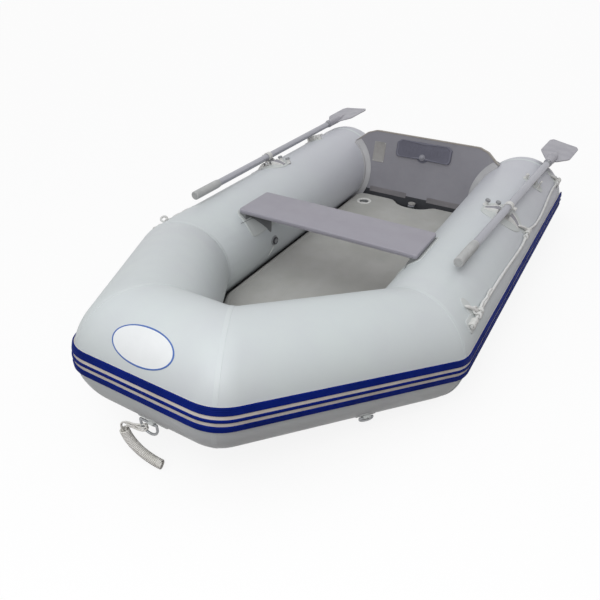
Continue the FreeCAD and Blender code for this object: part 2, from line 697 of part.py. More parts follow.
def deck_valve():
    p = deck_valve_point()
    cup = Part.makeCylinder(DECK_POCKET_R, DECK_POCKET_DEPTH, p - V(0, 0, DECK_POCKET_DEPTH))
    flange = Part.makeCylinder(37.0, 2.2, p + V(0, 0, JOINT_GAP))
    neck = Part.makeCylinder(DECK_POCKET_R, JOINT_GAP + 1, p)
    hollow = Part.makeCylinder(DECK_POCKET_R - 3, DECK_POCKET_DEPTH + 5, p - V(0, 0, DECK_POCKET_DEPTH - 3))
    return fuse([cup, neck, flange]).cut(hollow)


def deck_valve_cap():
    p = deck_valve_point() - V(0, 0, DECK_POCKET_DEPTH - 3 - JOINT_GAP)
    cap = Part.makeCylinder(18.0, 16, p)
    grip = box((p.x - 14, p.y - 2.5, p.z + 15), (p.x + 14, p.y + 2.5, p.z + 23))
    return fuse([cap, grip])


# ---------------------------------------------------------------- seat
seat_y = mitre_y + SEAT_AFT
seat_half = tube_inner_x(seat_top - SEAT_THICK) - SEAT_END_GAP


def seat_board():
    h, d = seat_half, SEAT_DEPTH / 2
    outline = [(-h, seat_y - d), (h, seat_y - d), (h, seat_y + d), (-h, seat_y + d)]
    board = plate(outline, [14] * 4, SEAT_THICK, seat_top - SEAT_THICK)
    long_edges = [e for e in board.Edges if abs(e.CenterOfMass.z - seat_top) < 0.01
                  or abs(e.CenterOfMass.z - seat_top + SEAT_THICK) < 0.01]
    return board.makeFillet(4.0, long_edges)


def seat_holder():
    """Patch on the right tube's inboard side, with the ledge that the seat's end rests on."""
    half = SEAT_DEPTH / 2 + 9
    run = stern_y - seat_y
    inner_r = TUBE_R + SKIN_GAP
    pad = sector(side, 119.0, 160.0, inner_r, inner_r + PATCH_THICK, run - half, run + half)
    top = seat_top - SEAT_THICK - JOINT_GAP
    ledge = box((seat_half - 28, seat_y - half + 14, top - 30), (seat_half - 1, seat_y + half - 14, top))
    return fuse([pad, ledge.cut(rod(mitre_point, stern_point, inner_r))])


# ---------------------------------------------------------------- rowlocks and oars
lean = math.radians(ROWLOCK_LEAN)
rowlock_up = V(math.sin(lean), 0, math.cos(lean))
rowlock_out = V(math.cos(lean), 0, -math.sin(lean))
rowlock_foot = V(half_spacing, mitre_y + ROWLOCK_AFT, TUBE_R) + rowlock_up * TUBE_R
oar_pivot = rowlock_foot + rowlock_up * oar_h


def on_rowlock(shape):
    """From the rowlock's frame (X outboard, Y aft, Z off the tube) to the boat's, for the right side."""
    return placed(shape, rowlock_foot, rowlock_out, V(0, 1, 0))


def patch_on_tube(half_out, half_along, centre_y, tilt):
    """An oval patch that follows the right tube, `tilt` degrees outboard of its top."""
    a = math.radians(tilt)
    up, out = V(math.sin(a), 0, math.cos(a)), V(math.cos(a), 0, -math.sin(a))
    centre = V(half_spacing, centre_y, TUBE_R)
    oval = placed(lens(half_out, half_along, 2 * TUBE_R), centre, out, V(0, 1, 0))
    inner, outer = [rod(mitre_point, stern_point, TUBE_R + SKIN_GAP + t) for t in (0.0, PATCH_THICK)]
    return oval.common(outer.cut(inner)).common(half_space(centre, up))


def rowlock_patch():
    """Oval patch under the rowlock, as wide as the nearest rope holder leaves room for."""
    reach = 90 - HOLDER_ANGLE - HOLDER_PAD_ANGLE - ROWLOCK_PATCH_GAP - ROWLOCK_LEAN
    half_out = TUBE_R * math.sin(math.radians(reach))
    return patch_on_tube(half_out, ROWLOCK_PATCH_HALF, rowlock_foot.y, ROWLOCK_LEAN)


def above_patch():
    """Cutter that leaves what stands on the rowlock's patch."""
    return rod(mitre_point, stern_point, TUBE_R + SKIN_GAP + PATCH_THICK + TOUCH)


def rowlock_fins():
    """Two fins on each side of the bracket, highest beside it."""
    fins = []
    for sign in (1, -1):
        near, far = sign * (PLINTH_HALF + TOUCH), sign * FIN_REACH
        outline = [(near, -10), (far, -14.5), (far - sign * 12, -7), (near, FIN_TOP)]
        for y in (-FIN_OUT, FIN_OUT - FIN_THICK):
            fin = Part.Face(Part.makePolygon([V(x, y, z) for x, z in outline + outline[:1]]))
            fins.append(on_rowlock(fin.extrude(V(0, FIN_THICK, 0))).cut(above_patch()))
    return fins


def rowlock_base():
    """Bracket on the patch: a plinth and the two ears of the trunnion; and its two stub pins."""
    inner = YOKE_HALF + JOINT_GAP
    outer = inner + EAR_THICK
    pieces = [box((-PLINTH_HALF, -outer, -4), (PLINTH_HALF, outer, 2))]
    for y in (inner, -outer):
        pieces.append(Part.makeCylinder(EAR_R, EAR_THICK, V(0, y, TRUNNION_H), V(0, 1, 0)))
        pieces.append(box((-EAR_R, y, 0), (EAR_R, y + EAR_THICK, TRUNNION_H)))
    pins = []
    for way in (1, -1):
        direction, start = V(0, way, 0), V(0, way * STUB_PIN_START, TRUNNION_H)
        stub = Part.makeCylinder(TRUNNION_PIN_R, outer - STUB_PIN_START, start, direction)
        head = Part.makeCylinder(5.0, 3, V(0, way * outer, TRUNNION_H), direction)
        pins.append(on_rowlock(fuse([stub, head])))
    return cut(on_rowlock(fuse(pieces)), [above_patch()] + pins), pins


def rowlock_yoke():
    """Rocks on the stub pins and carries the collar's stem."""
    barrel = Part.makeCylinder(YOKE_R, 2 * YOKE_HALF, V(0, -YOKE_HALF, TRUNNION_H), V(0, 1, 0))
    top = oar_h - collar_r - JOINT_GAP
    barrel = barrel.common(Part.makeBox(60, 60, top + 20, V(-30, -30, -20)))
    start = STUB_PIN_START - JOINT_GAP
    bores = [Part.makeCylinder(TRUNNION_PIN_R + FIT, 40, V(0, way * start, TRUNNION_H), V(0, way, 0))
             for way in (1, -1)]
    bores.append(Part.makeCylinder(STEM_R + FIT, 60, V(0, 0, TRUNNION_H - 30)))
    return on_rowlock(cut(barrel, bores))


def outward(yaw):
    """Direction of the right oar, in the rowlock's frame, turned outboard from straight aft."""
    a = math.radians(yaw)
    return V(math.sin(a), math.cos(a), 0)


def oar_collar(yaw):
    """Ring on the shaft with a stem that turns in the yoke."""
    d, centre = outward(yaw), V(0, 0, oar_h)
    ring = Part.makeCylinder(collar_r, 2 * COLLAR_HALF, centre - d * COLLAR_HALF, d)
    foot = TRUNNION_H - YOKE_R + 1
    stem = Part.makeCylinder(STEM_R, oar_h - foot, V(0, 0, foot))
    bore = Part.makeCylinder(SHAFT_R + FIT, 80, centre - d * 40, d)
    return on_rowlock(ring.fuse(stem).cut(bore))


def along_oar(shape, yaw, tilt):
    """From the oar's frame (Y towards the blade, Z off its face) to the boat's."""
    d = outward(yaw)
    aim = rowlock_out * d.x + V(0, 1, 0) * d.y
    flat = V(math.cos(math.radians(tilt)), 0, -math.sin(math.radians(tilt)))
    flat = unit(flat - aim * flat.dot(aim))
    return placed(shape, oar_pivot, flat, aim)


def oar_shaft():
    start, end = V(0, -GRIP_END + 8, 0), V(0, OAR_TIP - BLADE_LEN + 60, 0)
    return rod(start, end, SHAFT_R).cut(rod(start - V(0, 1, 0), end + V(0, 1, 0), SHAFT_R - SHAFT_WALL))


def oar_grip():
    start = V(0, -GRIP_END, 0)
    grip = rod(start, start + V(0, GRIP_LEN, 0), SHAFT_R + GRIP_WALL)
    grip = grip.makeFillet(2.5, [e for e in grip.Edges if abs(e.CenterOfMass.y - start.y) < 0.01])
    return grip.cut(rod(start + V(0, 8, 0), start + V(0, GRIP_LEN + 1, 0), SHAFT_R + FIT))


def oar_blade():
    """Flat blade with rounded shoulders, a middle rib, and the socket that the shaft is pinned in."""
    neck, tip, h = OAR_TIP - BLADE_LEN, OAR_TIP, BLADE_HALF
    right = [(9, neck + 8), (30, neck + 36), (h, neck + 118), (h + 1, tip - 30), (h - 12, tip)]
    outline = right + [(-x, y) for x, y in reversed(right)]
    radii = [3, 60, 60, 14, 10]
    face = rounded_face(outline, radii + radii[::-1])
    face.translate(V(0, 0, -BLADE_THICK / 2))
    blade = face.extrude(V(0, 0, BLADE_THICK))
    socket_r = SHAFT_R + 3
    socket = rod(V(0, neck - 22, 0), V(0, neck + 72, 0), socket_r)
    nose = Part.makeCone(socket_r, BLADE_THICK / 2 + 1, 120, V(0, neck + 72, 0), V(0, 1, 0))
    blade = fuse([blade, socket, nose])
    return blade.cut(rod(V(0, neck - 30, 0), V(0, neck + 61, 0), SHAFT_R + FIT))


def oar_clip(yaw):
    """Rubber rest on the tube: a low saddle under the stowed shaft, a knob inboard and a hook outboard."""
    y = rowlock_foot.y + CLIP_AFT
    aside = CLIP_AFT * math.tan(math.radians(yaw))
    tilt = math.degrees(math.asin((rowlock_out.x * aside + rowlock_up.x * TUBE_R) / TUBE_R))
    patch = patch_on_tube(52.0, 34.0, y, tilt + 2)
    top = oar_h - SHAFT_R - CLIP_CLEAR
    low = -30.0
    saddle = box((aside - SHAFT_R - 1, -15, low), (aside + SHAFT_R + 1, 15, top))
    hook = box((aside + SHAFT_R + 13, -11, low), (aside + SHAFT_R + 22, 11, top))
    knob = Part.makeCylinder(8.0, top - low, V(aside - SHAFT_R - 19, 0, low))
    lumps = fuse([saddle, hook, knob])
    lumps.translate(V(0, CLIP_AFT, 0))
    lumps = on_rowlock(lumps).cut(rod(mitre_point, stern_point, TUBE_R + SKIN_GAP + TOUCH))
    return fuse([patch, lumps])


# ---------------------------------------------------------------- rope holders, grab lines and rings
def rope_holder(station):
    """Patch with a short tunnel for the grab line."""
    run = (stern_y - mitre_y) - station
    pad = sector(side, HOLDER_ANGLE - HOLDER_PAD_ANGLE, HOLDER_ANGLE + HOLDER_PAD_ANGLE, TUBE_R + SKIN_GAP,
                 TUBE_R + SKIN_GAP + PATCH_THICK, run - HOLDER_PAD_HALF, run + HOLDER_PAD_HALF)
    centre = side.at(run, HOLDER_ANGLE, 0)
    half_width = ROPE_R + 6
    top = TUBE_R + HOLDER_ROPE_H + ROPE_R + 4.5
    block = box((-half_width, -HOLDER_HALF, TUBE_R + 1), (half_width, HOLDER_HALF, top))
    block = block.makeFillet(6.0, [e for e in block.Edges
                                   if e.CenterOfMass.z > top - 1 and abs(e.CenterOfMass.x) > half_width - 1])
    a = math.radians(90 - HOLDER_ANGLE)
    out = V(math.cos(a), 0, -math.sin(a))
    block = placed(block, centre, out, V(0, 1, 0))
    block = block.cut(rod(mitre_point, stern_point, TUBE_R + SKIN_GAP + TOUCH))
    holder = fuse([pad, block])
    axis = side.at(0, HOLDER_ANGLE, TUBE_R + HOLDER_ROPE_H)
    y = centre.y
    return holder.cut(rod(V(axis.x, y - 50, axis.z), V(axis.x, y + 50, axis.z), ROPE_R + 0.9))


# The grab line's route: distance aft of the mitre, angle on the tube, height of the rope's axis off it.
GRAB_ROUTE = (
    (28, 33.0, 8.6), (76, 33.1, 8.6), (126, 33.5, 7.4), (186, 33.6, 6.5), (256, 33.4, 6.0),
    (336, 33.0, 5.9), (426, 32.2, 5.9), (516, 30.8, 5.9), (590, 29.6, 5.9), (650, 29.3, 6.2),
    (694, 31.2, 7.5), (728, 32.9, 8.6), (782, 33.1, 8.6), (816, 31.0, 7.5), (856, 28.4, 6.3),
    (905, 27.3, 5.9), (970, 27.5, 5.9), (1040, 29.0, 5.9), (1115, 31.2, 5.9), (1190, 33.0, 6.1),
    (1250, 33.9, 6.6), (1296, 33.5, 7.7), (1336, 33.0, 8.6), (1384, 33.1, 8.6),
)


def grab_line():
    length = stern_y - mitre_y
    points = [side.at(length - aft, angle, TUBE_R + lift) for aft, angle, lift in GRAB_ROUTE]
    return cord_tube("grab line", points, ROPE_R)


def ring_bar(segment, run):
    return segment.at(run, RING_PAD_ANGLE, TUBE_R + RING_AXIS_H)


def ring_pad(segment, run, size):
    """Round patch and the saddle that the ring's bar turns in."""
    normal = segment.normal(RING_PAD_ANGLE)
    start = segment.at(run, RING_PAD_ANGLE, 0)
    disc = Part.makeCylinder(size["pad"], TUBE_R + 20, start, normal)
    tube = [segment.at(run - 80, 0, 0), segment.at(run + 80, 0, 0)]
    shell = rod(tube[0], tube[1], TUBE_R + SKIN_GAP + 2.2).cut(rod(tube[0], tube[1], TUBE_R + SKIN_GAP))
    half = size["half"] - size["shift"] - 7
    saddle = Part.makeBox(2 * half, 16, RING_AXIS_H + 5, V(-half, -8, TUBE_R))
    saddle = placed(saddle, start, segment.along, normal.cross(segment.along))
    saddle = saddle.cut(rod(tube[0], tube[1], TUBE_R + SKIN_GAP + TOUCH))
    bar = ring_bar(segment, run)
    bore = rod(bar - segment.along * 60, bar + segment.along * 60, RING_WIRE_R + FIT)
    return fuse([disc.common(shell), saddle]).cut(bore)


def d_ring(segment, run, size):
    """Its straight bar lies along the tube, and its bow hangs below."""
    along = segment.along
    r, h, drop = RING_WIRE_R, size["half"], size["drop"]
    pieces = [rod(V(-h, 0, 0), V(h, 0, 0), r)]
    for x in (-h, h):
        pieces += [rod(V(x, 0, 0), V(x, 0, -drop), r), Part.makeSphere(r, V(x, 0, 0))]
    hoop = Part.makeTorus(h, r, V(0, 0, -drop), V(0, 1, 0))
    pieces.append(hoop.common(box((-2 * h, -10, -3 * h), (2 * h, 10, -drop))))
    middle = ring_bar(segment, run) + along * size["shift"]
    return placed(fuse(pieces), middle, along, V(0, 0, 1).cross(along))


# The painter: from the bow ring to its hank, and the hank's own bent axis.  X, then forward of and above
# the ring's bar.
PAINTER_ROUTE = ((-39, 1.5, -31), (-53, 5.5, -31.6), (-68, 9, -33.6), (-83, 12, -37.6), (-98, 14, -46))
HANK_ROUTE = ((-102, 14.5, -45.6), (-97.3, 13.5, -72.2), (-87.2, 11.5, -97.2), (-71.7, 8.5, -119.3),
              (-51.6, 5, -137.4), (-28.5, 1, -151.3), (-3.8, -3, -162.3))


def beside_ring(route):
    bar = ring_bar(bow, BOW_WIDTH / 2)
    return [V(x, bar.y - ahead, bar.z + up) for x, ahead, up in route]


def badge():
    """Blank oval plate on the bow tube."""
    angle = 45.0
    normal = bow.normal(angle)
    centre, reach = V(0, bow_point.y, bow_point.z), V(200, 0, 0)
    oval = placed(lens(98.0, 41.0, TUBE_R + 20), centre, V(1, 0, 0), normal.cross(V(1, 0, 0)))
    outer, inner = [rod(centre - reach, centre + reach, TUBE_R + SKIN_GAP + t) for t in (0.8, 0.0)]
    shell = outer.cut(inner)
    return oval.common(shell)


# ---------------------------------------------------------------- the pieces
add_pair("side_tube", side_tube())
add_pair("shoulder_tube", shoulder_tube())
add("bow_tube", bow_tube())
add("air_baffles", baffle(), mirrored(baffle()))
add("stern_caps", end_cap(), mirrored(end_cap()))
add_pair("tube_valve", tube_valve())
add_pair("tube_valve_cap", tube_valve_cap())

strake_base, strake_ribs = strake()
add("strake_base", strake_base)
add("strake_ribs", *strake_ribs)

bottom_aft, bottom_bow = bottom_panels()
add("bottom_aft", bottom_aft)
add("bottom_bow", bottom_bow)
add("keel_tube", keel())
add("keel_valve", keel_valve())
add("keel_valve_cap", keel_valve_cap())
add("air_deck", air_deck())
add("deck_valve", deck_valve())
add("deck_valve_cap", deck_valve_cap())

add("transom_board", transom_board())
add("transom_channels", transom_channel(), mirrored(transom_channel()))
add("transom_strips", *transom_strips())
add("motor_pad_inner", motor_pad(-JOINT_GAP - PAD_THICK, PAD_THICK))
add("motor_pad_outer", motor_pad(TRANSOM_THICK + JOINT_GAP, PAD_THICK))
add("pad_bolt", *pad_bolt())
add("blank_plate", blank_plate())
add("drain_tube", drain_tube())
add("drain_plug", drain_plug())

add("seat_board", seat_board())
add("seat_holders", seat_holder(), mirrored(seat_holder()))

rowlock_patches, fins, rowlock_pins, oar_clips, rope_holders = [], [], [], [], []
for hand in ("right", "left"):
    yaw, tilt = OAR_YAW[hand], BLADE_TILT[hand]

    def own_side(shape):
        return mirrored(shape) if hand == "left" else shape

    base, pins = rowlock_base()
    rowlock_patches.append(own_side(rowlock_patch()))
    fins += [own_side(fin) for fin in rowlock_fins()]
    rowlock_pins += [own_side(pin) for pin in pins]
    oar_clips.append(own_side(oar_clip(yaw)))
    rope_holders += [own_side(rope_holder(station)) for station in HOLDER_STATIONS]
    pieces = {
        "rowlock_base": base, "rowlock_yoke": rowlock_yoke(), "oar_collar": oar_collar(yaw),
        "oar_shaft": along_oar(oar_shaft(), yaw, tilt), "oar_grip": along_oar(oar_grip(), yaw, tilt),
        "oar_blade": along_oar(oar_blade(), yaw, tilt), "grab_line": grab_line(),
    }
    for name, shape in pieces.items():
        add(name + "_" + hand, own_side(shape))
add("rowlock_patches", *rowlock_patches)
add("rowlock_fins", *fins)
add("rowlock_pins", *rowlock_pins)
add("oar_clips", *oar_clips)
add("rope_holders", *rope_holders)

tow_run = TOW_RING_PLACE * (shoulder.end - shoulder.start).Length
tow_pad = ring_pad(shoulder, tow_run, TOW_RING)
add("bow_ring_pad", ring_pad(bow, BOW_WIDTH / 2, BOW_RING))
add("bow_ring", d_ring(bow, BOW_WIDTH / 2, BOW_RING))
add("tow_ring_pads", tow_pad, mirrored(tow_pad))
add_pair("tow_ring", d_ring(shoulder, tow_run, TOW_RING))
add("badge", badge())
add("painter_rope", cord_tube("painter", beside_ring(PAINTER_ROUTE), PAINTER_R))
add("painter_hank", cord_tube("hank", beside_ring(HANK_ROUTE), HANK_R, limp=True))

# ---------------------------------------------------------------- output
os.makedirs("parts", exist_ok=True)
whole = FreeCAD.BoundBox()
for name, shape in parts.items():
    if not shape.isValid():
        print("not valid:", name)
    if not name.startswith(("painter", "grab")):
        whole.add(shape.optimalBoundingBox())
shift = -(whole.YMin + whole.YMax) / 2
for name, shape in parts.items():
    shape.translate(V(0, shift, 0))
    shape.exportStep("parts/%s.step" % name)
print("%d nodes, %.2f x %.2f x %.2f, mitre at y %.3f, lowest %.2f"
      % (len(parts), whole.XLength, whole.YLength, whole.ZLength, mitre_y + shift, whole.ZMin))
places = {"oar pivot": oar_pivot, "rowlock foot": rowlock_foot, "tube valve": tube_valve_point(),
          "keel valve": neck_point(), "deck valve": deck_valve_point(), "transom": transom_point,
          "bow ring": ring_bar(bow, BOW_WIDTH / 2), "tow ring": ring_bar(shoulder, tow_run)}
for label, point in places.items():
    print("%-14s %9.3f %9.3f %9.3f" % (label, point.x, point.y + shift, point.z))
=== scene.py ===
import math

import bmesh
import bpy
import numpy as np
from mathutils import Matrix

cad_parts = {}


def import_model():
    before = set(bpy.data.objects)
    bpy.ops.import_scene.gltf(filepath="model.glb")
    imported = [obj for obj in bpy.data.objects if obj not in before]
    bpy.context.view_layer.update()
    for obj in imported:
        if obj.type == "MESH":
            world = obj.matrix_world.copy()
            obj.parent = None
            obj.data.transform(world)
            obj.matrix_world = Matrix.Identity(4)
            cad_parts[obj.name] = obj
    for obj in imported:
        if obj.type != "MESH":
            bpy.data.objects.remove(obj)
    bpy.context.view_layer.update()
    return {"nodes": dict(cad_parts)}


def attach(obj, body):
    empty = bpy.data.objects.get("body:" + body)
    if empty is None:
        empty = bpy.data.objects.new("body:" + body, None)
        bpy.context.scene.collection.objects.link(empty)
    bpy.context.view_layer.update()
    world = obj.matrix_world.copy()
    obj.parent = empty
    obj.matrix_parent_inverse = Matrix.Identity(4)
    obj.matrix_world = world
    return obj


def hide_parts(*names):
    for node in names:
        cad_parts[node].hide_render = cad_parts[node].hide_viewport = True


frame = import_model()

# Inflatable dinghy: what is seen of it.  Metres, +Z up, bow towards -Y, right is +X.
scene = bpy.context.scene

# ---------------------------------------------------------------- camera
camera_data = bpy.data.cameras.new("camera")
camera_data.sensor_width = 36.0
camera_data.lens = 34.88
camera_data.clip_end = 60.0
camera = bpy.data.objects.new("camera", camera_data)
camera.location = (0.9029, -1.8961, 1.2941)
camera.rotation_euler = (math.radians(56.713), 0.0, math.radians(30.771))
scene.collection.objects.link(camera)
scene.camera = camera

# ---------------------------------------------------------------- the frame's own measures
TUBE_R = 0.180
MITRE_Y = -0.465296
STERN_Y = 0.934704
CONE_LEN = 0.210
CONE_TIP_R = 0.058
GAP = 0.0003    # how far a glued piece's back lies off its surface
X, Y, Z = np.eye(3)
STERN = np.array([0.468, STERN_Y, 0.180])
MITRE = np.array([0.468, MITRE_Y, 0.180])
BOW = np.array([0.139, -0.998296, 0.291])
HANDS = {"right": np.ones(3), "left": np.array([-1.0, 1.0, 1.0])}


def unit(v):
    v = np.asarray(v, float)
    return v / np.linalg.norm(v)


def deg(a):
    return math.radians(a)


def smooth(t):
    t = np.clip(t, 0.0, 1.0)
    return t * t * (3 - 2 * t)


def circle(count):
    return np.linspace(0, 2 * math.pi, count, endpoint=False)


def distances(line):
    """Distance along a line of points, at each of them."""
    return np.concatenate([[0], np.cumsum(np.linalg.norm(np.diff(line, axis=0), axis=1))])


def bend(start, corner, end, count, endpoint=True):
    """Points of a smooth bend from one point to another, drawn towards a corner."""
    return [(1 - t) ** 2 * start + 2 * t * (1 - t) * corner + t * t * end
            for t in np.linspace(0, 1, count, endpoint=endpoint)]


# ---------------------------------------------------------------- materials
MATS = {}


def tone(colour):
    """A colour written in screen values, as the shader wants it."""
    shares = [c / 255.0 for c in colour]
    return (*(c / 12.92 if c <= 0.04045 else ((c + 0.055) / 1.055) ** 2.4 for c in shares), 1.0)


class Shading:
    """A shader tree to which nodes are added."""

    def __init__(self, tree):
        self.nodes, self.links = tree.nodes, tree.links

    def join(self, node, sockets):
        """Set a node's inputs, each to a value or to another node's output."""
        for socket, value in sockets.items():
            if isinstance(value, bpy.types.NodeSocket):
                self.links.new(value, node.inputs[socket])
            else:
                node.inputs[socket].default_value = value
        return node

    def add(self, kind, sockets, **settings):
        node = self.nodes.new("ShaderNode" + kind)
        for name, value in settings.items():
            setattr(node, name, value)
        return self.join(node, sockets)

    def maths(self, operation, a, b):
        return self.add("Math", {0: a, 1: b}, operation=operation).outputs[0]

    def mix(self, factor, a, b):
        """Two colours mixed by a factor from 0 to 1."""
        return self.add("Mix", {0: factor, 6: a, 7: b}, data_type="RGBA").outputs[2]

    def part(self, vector, axis):
        return self.add("SeparateXYZ", {0: vector}).outputs[axis]

    def span(self, value, low, high, out_low, out_high):
        return self.add("MapRange", dict(enumerate((value, low, high, out_low, out_high)))).outputs[0]


class Surface(Shading):
    """A Principled material whose colour, roughness and relief come from nodes."""

    def __init__(self, name, colour, rough, coat=0.0, sheen=0.0, metallic=0.0, specular=0.5):
        MATS[name] = bpy.data.materials.new(name)
        MATS[name].use_nodes = True
        super().__init__(MATS[name].node_tree)
        self.shader = self.join(self.nodes["Principled BSDF"], {
            "Metallic": metallic, "Specular IOR Level": specular, "Coat Weight": coat, "Coat Roughness": 0.25,
            "Sheen Weight": sheen, "Sheen Roughness": 0.6})
        self.place = self.add("TexCoord", {}).outputs["Object"]
        self.colour = self.add("RGB", {}).outputs[0]
        self.colour.default_value = tone(colour)
        self.rough = rough
        self.relief = {}    # the input that takes the normal, once there is one

    def noise(self, scale, detail, stretch=None):
        place = self.place
        if stretch:
            place = self.add("Mapping", {"Scale": stretch, "Vector": place}).outputs[0]
        sockets = {"Scale": scale, "Detail": detail, "Roughness": 0.55, "Vector": place}
        return self.add("TexNoise", sockets).outputs["Fac"]

    def tint(self, factor, colour):
        """Mix another colour in by a factor from 0 to 1."""
        self.colour = self.mix(factor, self.colour, tone(colour))
        return self

    def mottle(self, colour, scale, amount, stretch=None):
        """Soft cloudy variation of the colour."""
        return self.tint(self.span(self.noise(scale, 4.0, stretch), 0.38, 0.68, 0.0, amount), colour)

    def bump(self, height, depth, strength=1.0):
        sockets = {"Strength": strength, "Distance": depth, "Height": height, **self.relief}
        self.relief = {"Normal": self.add("Bump", sockets).outputs[0]}
        return self

    def uneven(self, scale, detail, depth, strength, stretch=None):
        """Broad relief."""
        return self.bump(self.noise(scale, detail, stretch), depth, strength)

    def grain(self, size, depth, detail=2.0, stretch=None):
        """Fine relief, `size` metres across."""
        return self.bump(self.noise(1.0 / size, detail, stretch), depth)

    def weave(self, period, depth, layer="cloth", ways=("X", "Y")):
        """Threads that cross, under a coating."""
        threads = []
        for way in ways:
            source = self.add("UVMap", {}, uv_map=layer).outputs[0] if layer else self.place
            sockets = {"Scale": math.pi / 10 / period, "Vector": source}
            threads.append(self.add("TexWave", sockets, bands_direction=way).outputs["Fac"])
        return self.bump(self.maths("MULTIPLY", *threads), depth)

    def edges(self, colour, low, high, amount):
        """Another colour where the surface is convex, in patches."""
        edge_tint = self.span(self.add("NewGeometry", {}).outputs["Pointiness"], low, high, 0.0, 1.0)
        patchy = self.span(self.noise(45.0, 4.0), 0.35, 0.7, 0.15, 1.0)
        return self.tint(self.maths("MULTIPLY", self.maths("MULTIPLY", edge_tint, patchy), amount), colour)

    def painted_top_light(self, colour):
        """Painted light: a lighter colour where the piece faces up, as if lit from above."""
        up = self.part(self.add("NewGeometry", {}).outputs["Normal"], "Z")
        return self.tint(self.span(up, 0.55, 0.85, 0.0, 1.0), colour)

    def painted_shade_along_y(self, colour, start, end, amount):
        """Painted shade: another, darker colour that comes in along Y, from start to end, as less light reaches
        further aft.
        """
        return self.tint(self.span(self.part(self.place, "Y"), start, end, 0.0, amount), colour)

    def done(self, spread=0.07, scale=18.0):
        """Roughness that varies by `spread`, and the links to the shader."""
        value = self.span(self.noise(scale, 3.0), 0.3, 0.7, self.rough - spread, self.rough + spread)
        self.join(self.shader, {"Roughness": value, "Base Color": self.colour, **self.relief})


# Materials are taken by name.  Colours are in screen values.
(Surface("tube_cloth", (204, 211, 212), 0.46, coat=0.06, specular=0.42)
 .mottle((200, 203, 207), 3.2, 0.6).mottle((208, 216, 214), 11.0, 0.35)
 # Painted shade: the tubes turn darker and more lilac towards the stern, where less light reaches them.
 .painted_shade_along_y((193, 193, 202), -0.35, 0.75, 0.75)
 .weave(0.0016, 0.00006).grain(0.0007, 0.00003).uneven(7.0, 2.0, 0.0012, 0.5).done(0.05))
(Surface("tape_cloth", (207, 213, 214), 0.44, specular=0.42)
 .mottle((201, 208, 210), 9.0, 0.5).weave(0.0016, 0.00006).done(0.05))
(Surface("strake_white", (222, 216, 206), 0.5, specular=0.3)
 .mottle((200, 190, 176), 16.0, 0.7).grain(0.0012, 0.00008, stretch=(1.0, 1.0, 3.0)).done())
(Surface("strake_blue", (0, 26, 112), 0.6, specular=0.10)
 .mottle((0, 20, 84), 9.0, 0.7).mottle((6, 36, 122), 40.0, 0.25)
 .edges((16, 44, 140), 0.55, 0.7, 0.3).grain(0.0015, 0.00006, stretch=(1.0, 1.0, 4.0)).done())
(Surface("deck_cloth", (177, 177, 174), 0.62, specular=0.35, sheen=0.05)
 .mottle((158, 158, 154), 5.0, 0.8).mottle((168, 167, 160), 24.0, 0.3)
 .weave(0.0042, 0.00035, layer=None, ways=("DIAGONAL", "X")).grain(0.0011, 0.00008).done())
(Surface("bottom_cloth", (112, 115, 117), 0.55, specular=0.4)
 .mottle((98, 101, 103), 4.0, 0.8).mottle((126, 128, 128), 17.0, 0.35)
 .weave(0.0018, 0.00008, layer=None).grain(0.0009, 0.00004).done(0.06))
(Surface("strip_cloth", (126, 123, 126), 0.55, specular=0.4)
 .mottle((112, 110, 113), 12.0, 0.7).weave(0.0018, 0.00008, layer=None).grain(0.0010, 0.00005).done(0.06))
(Surface("board_paint", (144, 143, 150), 0.5, specular=0.42)
 .mottle((132, 131, 138), 5.0, 0.7).mottle((146, 145, 151), 30.0, 0.3)
 .uneven(60.0, 4.0, 0.0003, 0.6, (0.25, 1.0, 4.0)).grain(0.001, 0.00005)
 # Painted light: the board's upward faces are lighter, as if lit from above.
 .painted_top_light((170, 164, 156)).edges((168, 166, 168), 0.52, 0.6, 0.7).done())
(Surface("seat_paint", (154, 152, 161), 0.48, coat=0.03, specular=0.42)
 .mottle((149, 146, 155), 6.0, 0.6, stretch=(0.4, 1.6, 1.0))
 .uneven(50.0, 4.0, 0.0003, 0.5, (0.12, 2.2, 1.0)).grain(0.0008, 0.00004)
 .edges((184, 182, 190), 0.52, 0.6, 0.8).done())
(Surface("oar_metal", (172, 173, 180), 0.38, metallic=0.5, specular=0.5)
 .mottle((163, 164, 171), 9.0, 0.5, stretch=(1.0, 0.15, 1.0)).done(0.05, 12.0))
(Surface("steel", (205, 206, 208), 0.28, metallic=1.0)
 .mottle((158, 160, 164), 120.0, 0.6).grain(0.0016, 0.00009).done(0.1, 90.0))
(Surface("galvanised", (168, 170, 173), 0.45, metallic=0.5, specular=0.5)
 .mottle((132, 135, 138), 150.0, 0.7).mottle((190, 192, 194), 60.0, 0.4)
 .grain(0.0012, 0.00012).done(0.1, 90.0))
(Surface("rope_yarn", (224, 225, 224), 0.75, sheen=0.2, specular=0.3)
 .mottle((204, 204, 200), 60.0, 0.7).grain(0.0006, 0.00012, detail=4.0).done(0.08))
(Surface("painter_yarn", (234, 233, 229), 0.75, sheen=0.2, specular=0.3)
 .mottle((210, 208, 200), 38.0, 0.7).grain(0.0005, 0.0001, detail=4.0).done(0.08))
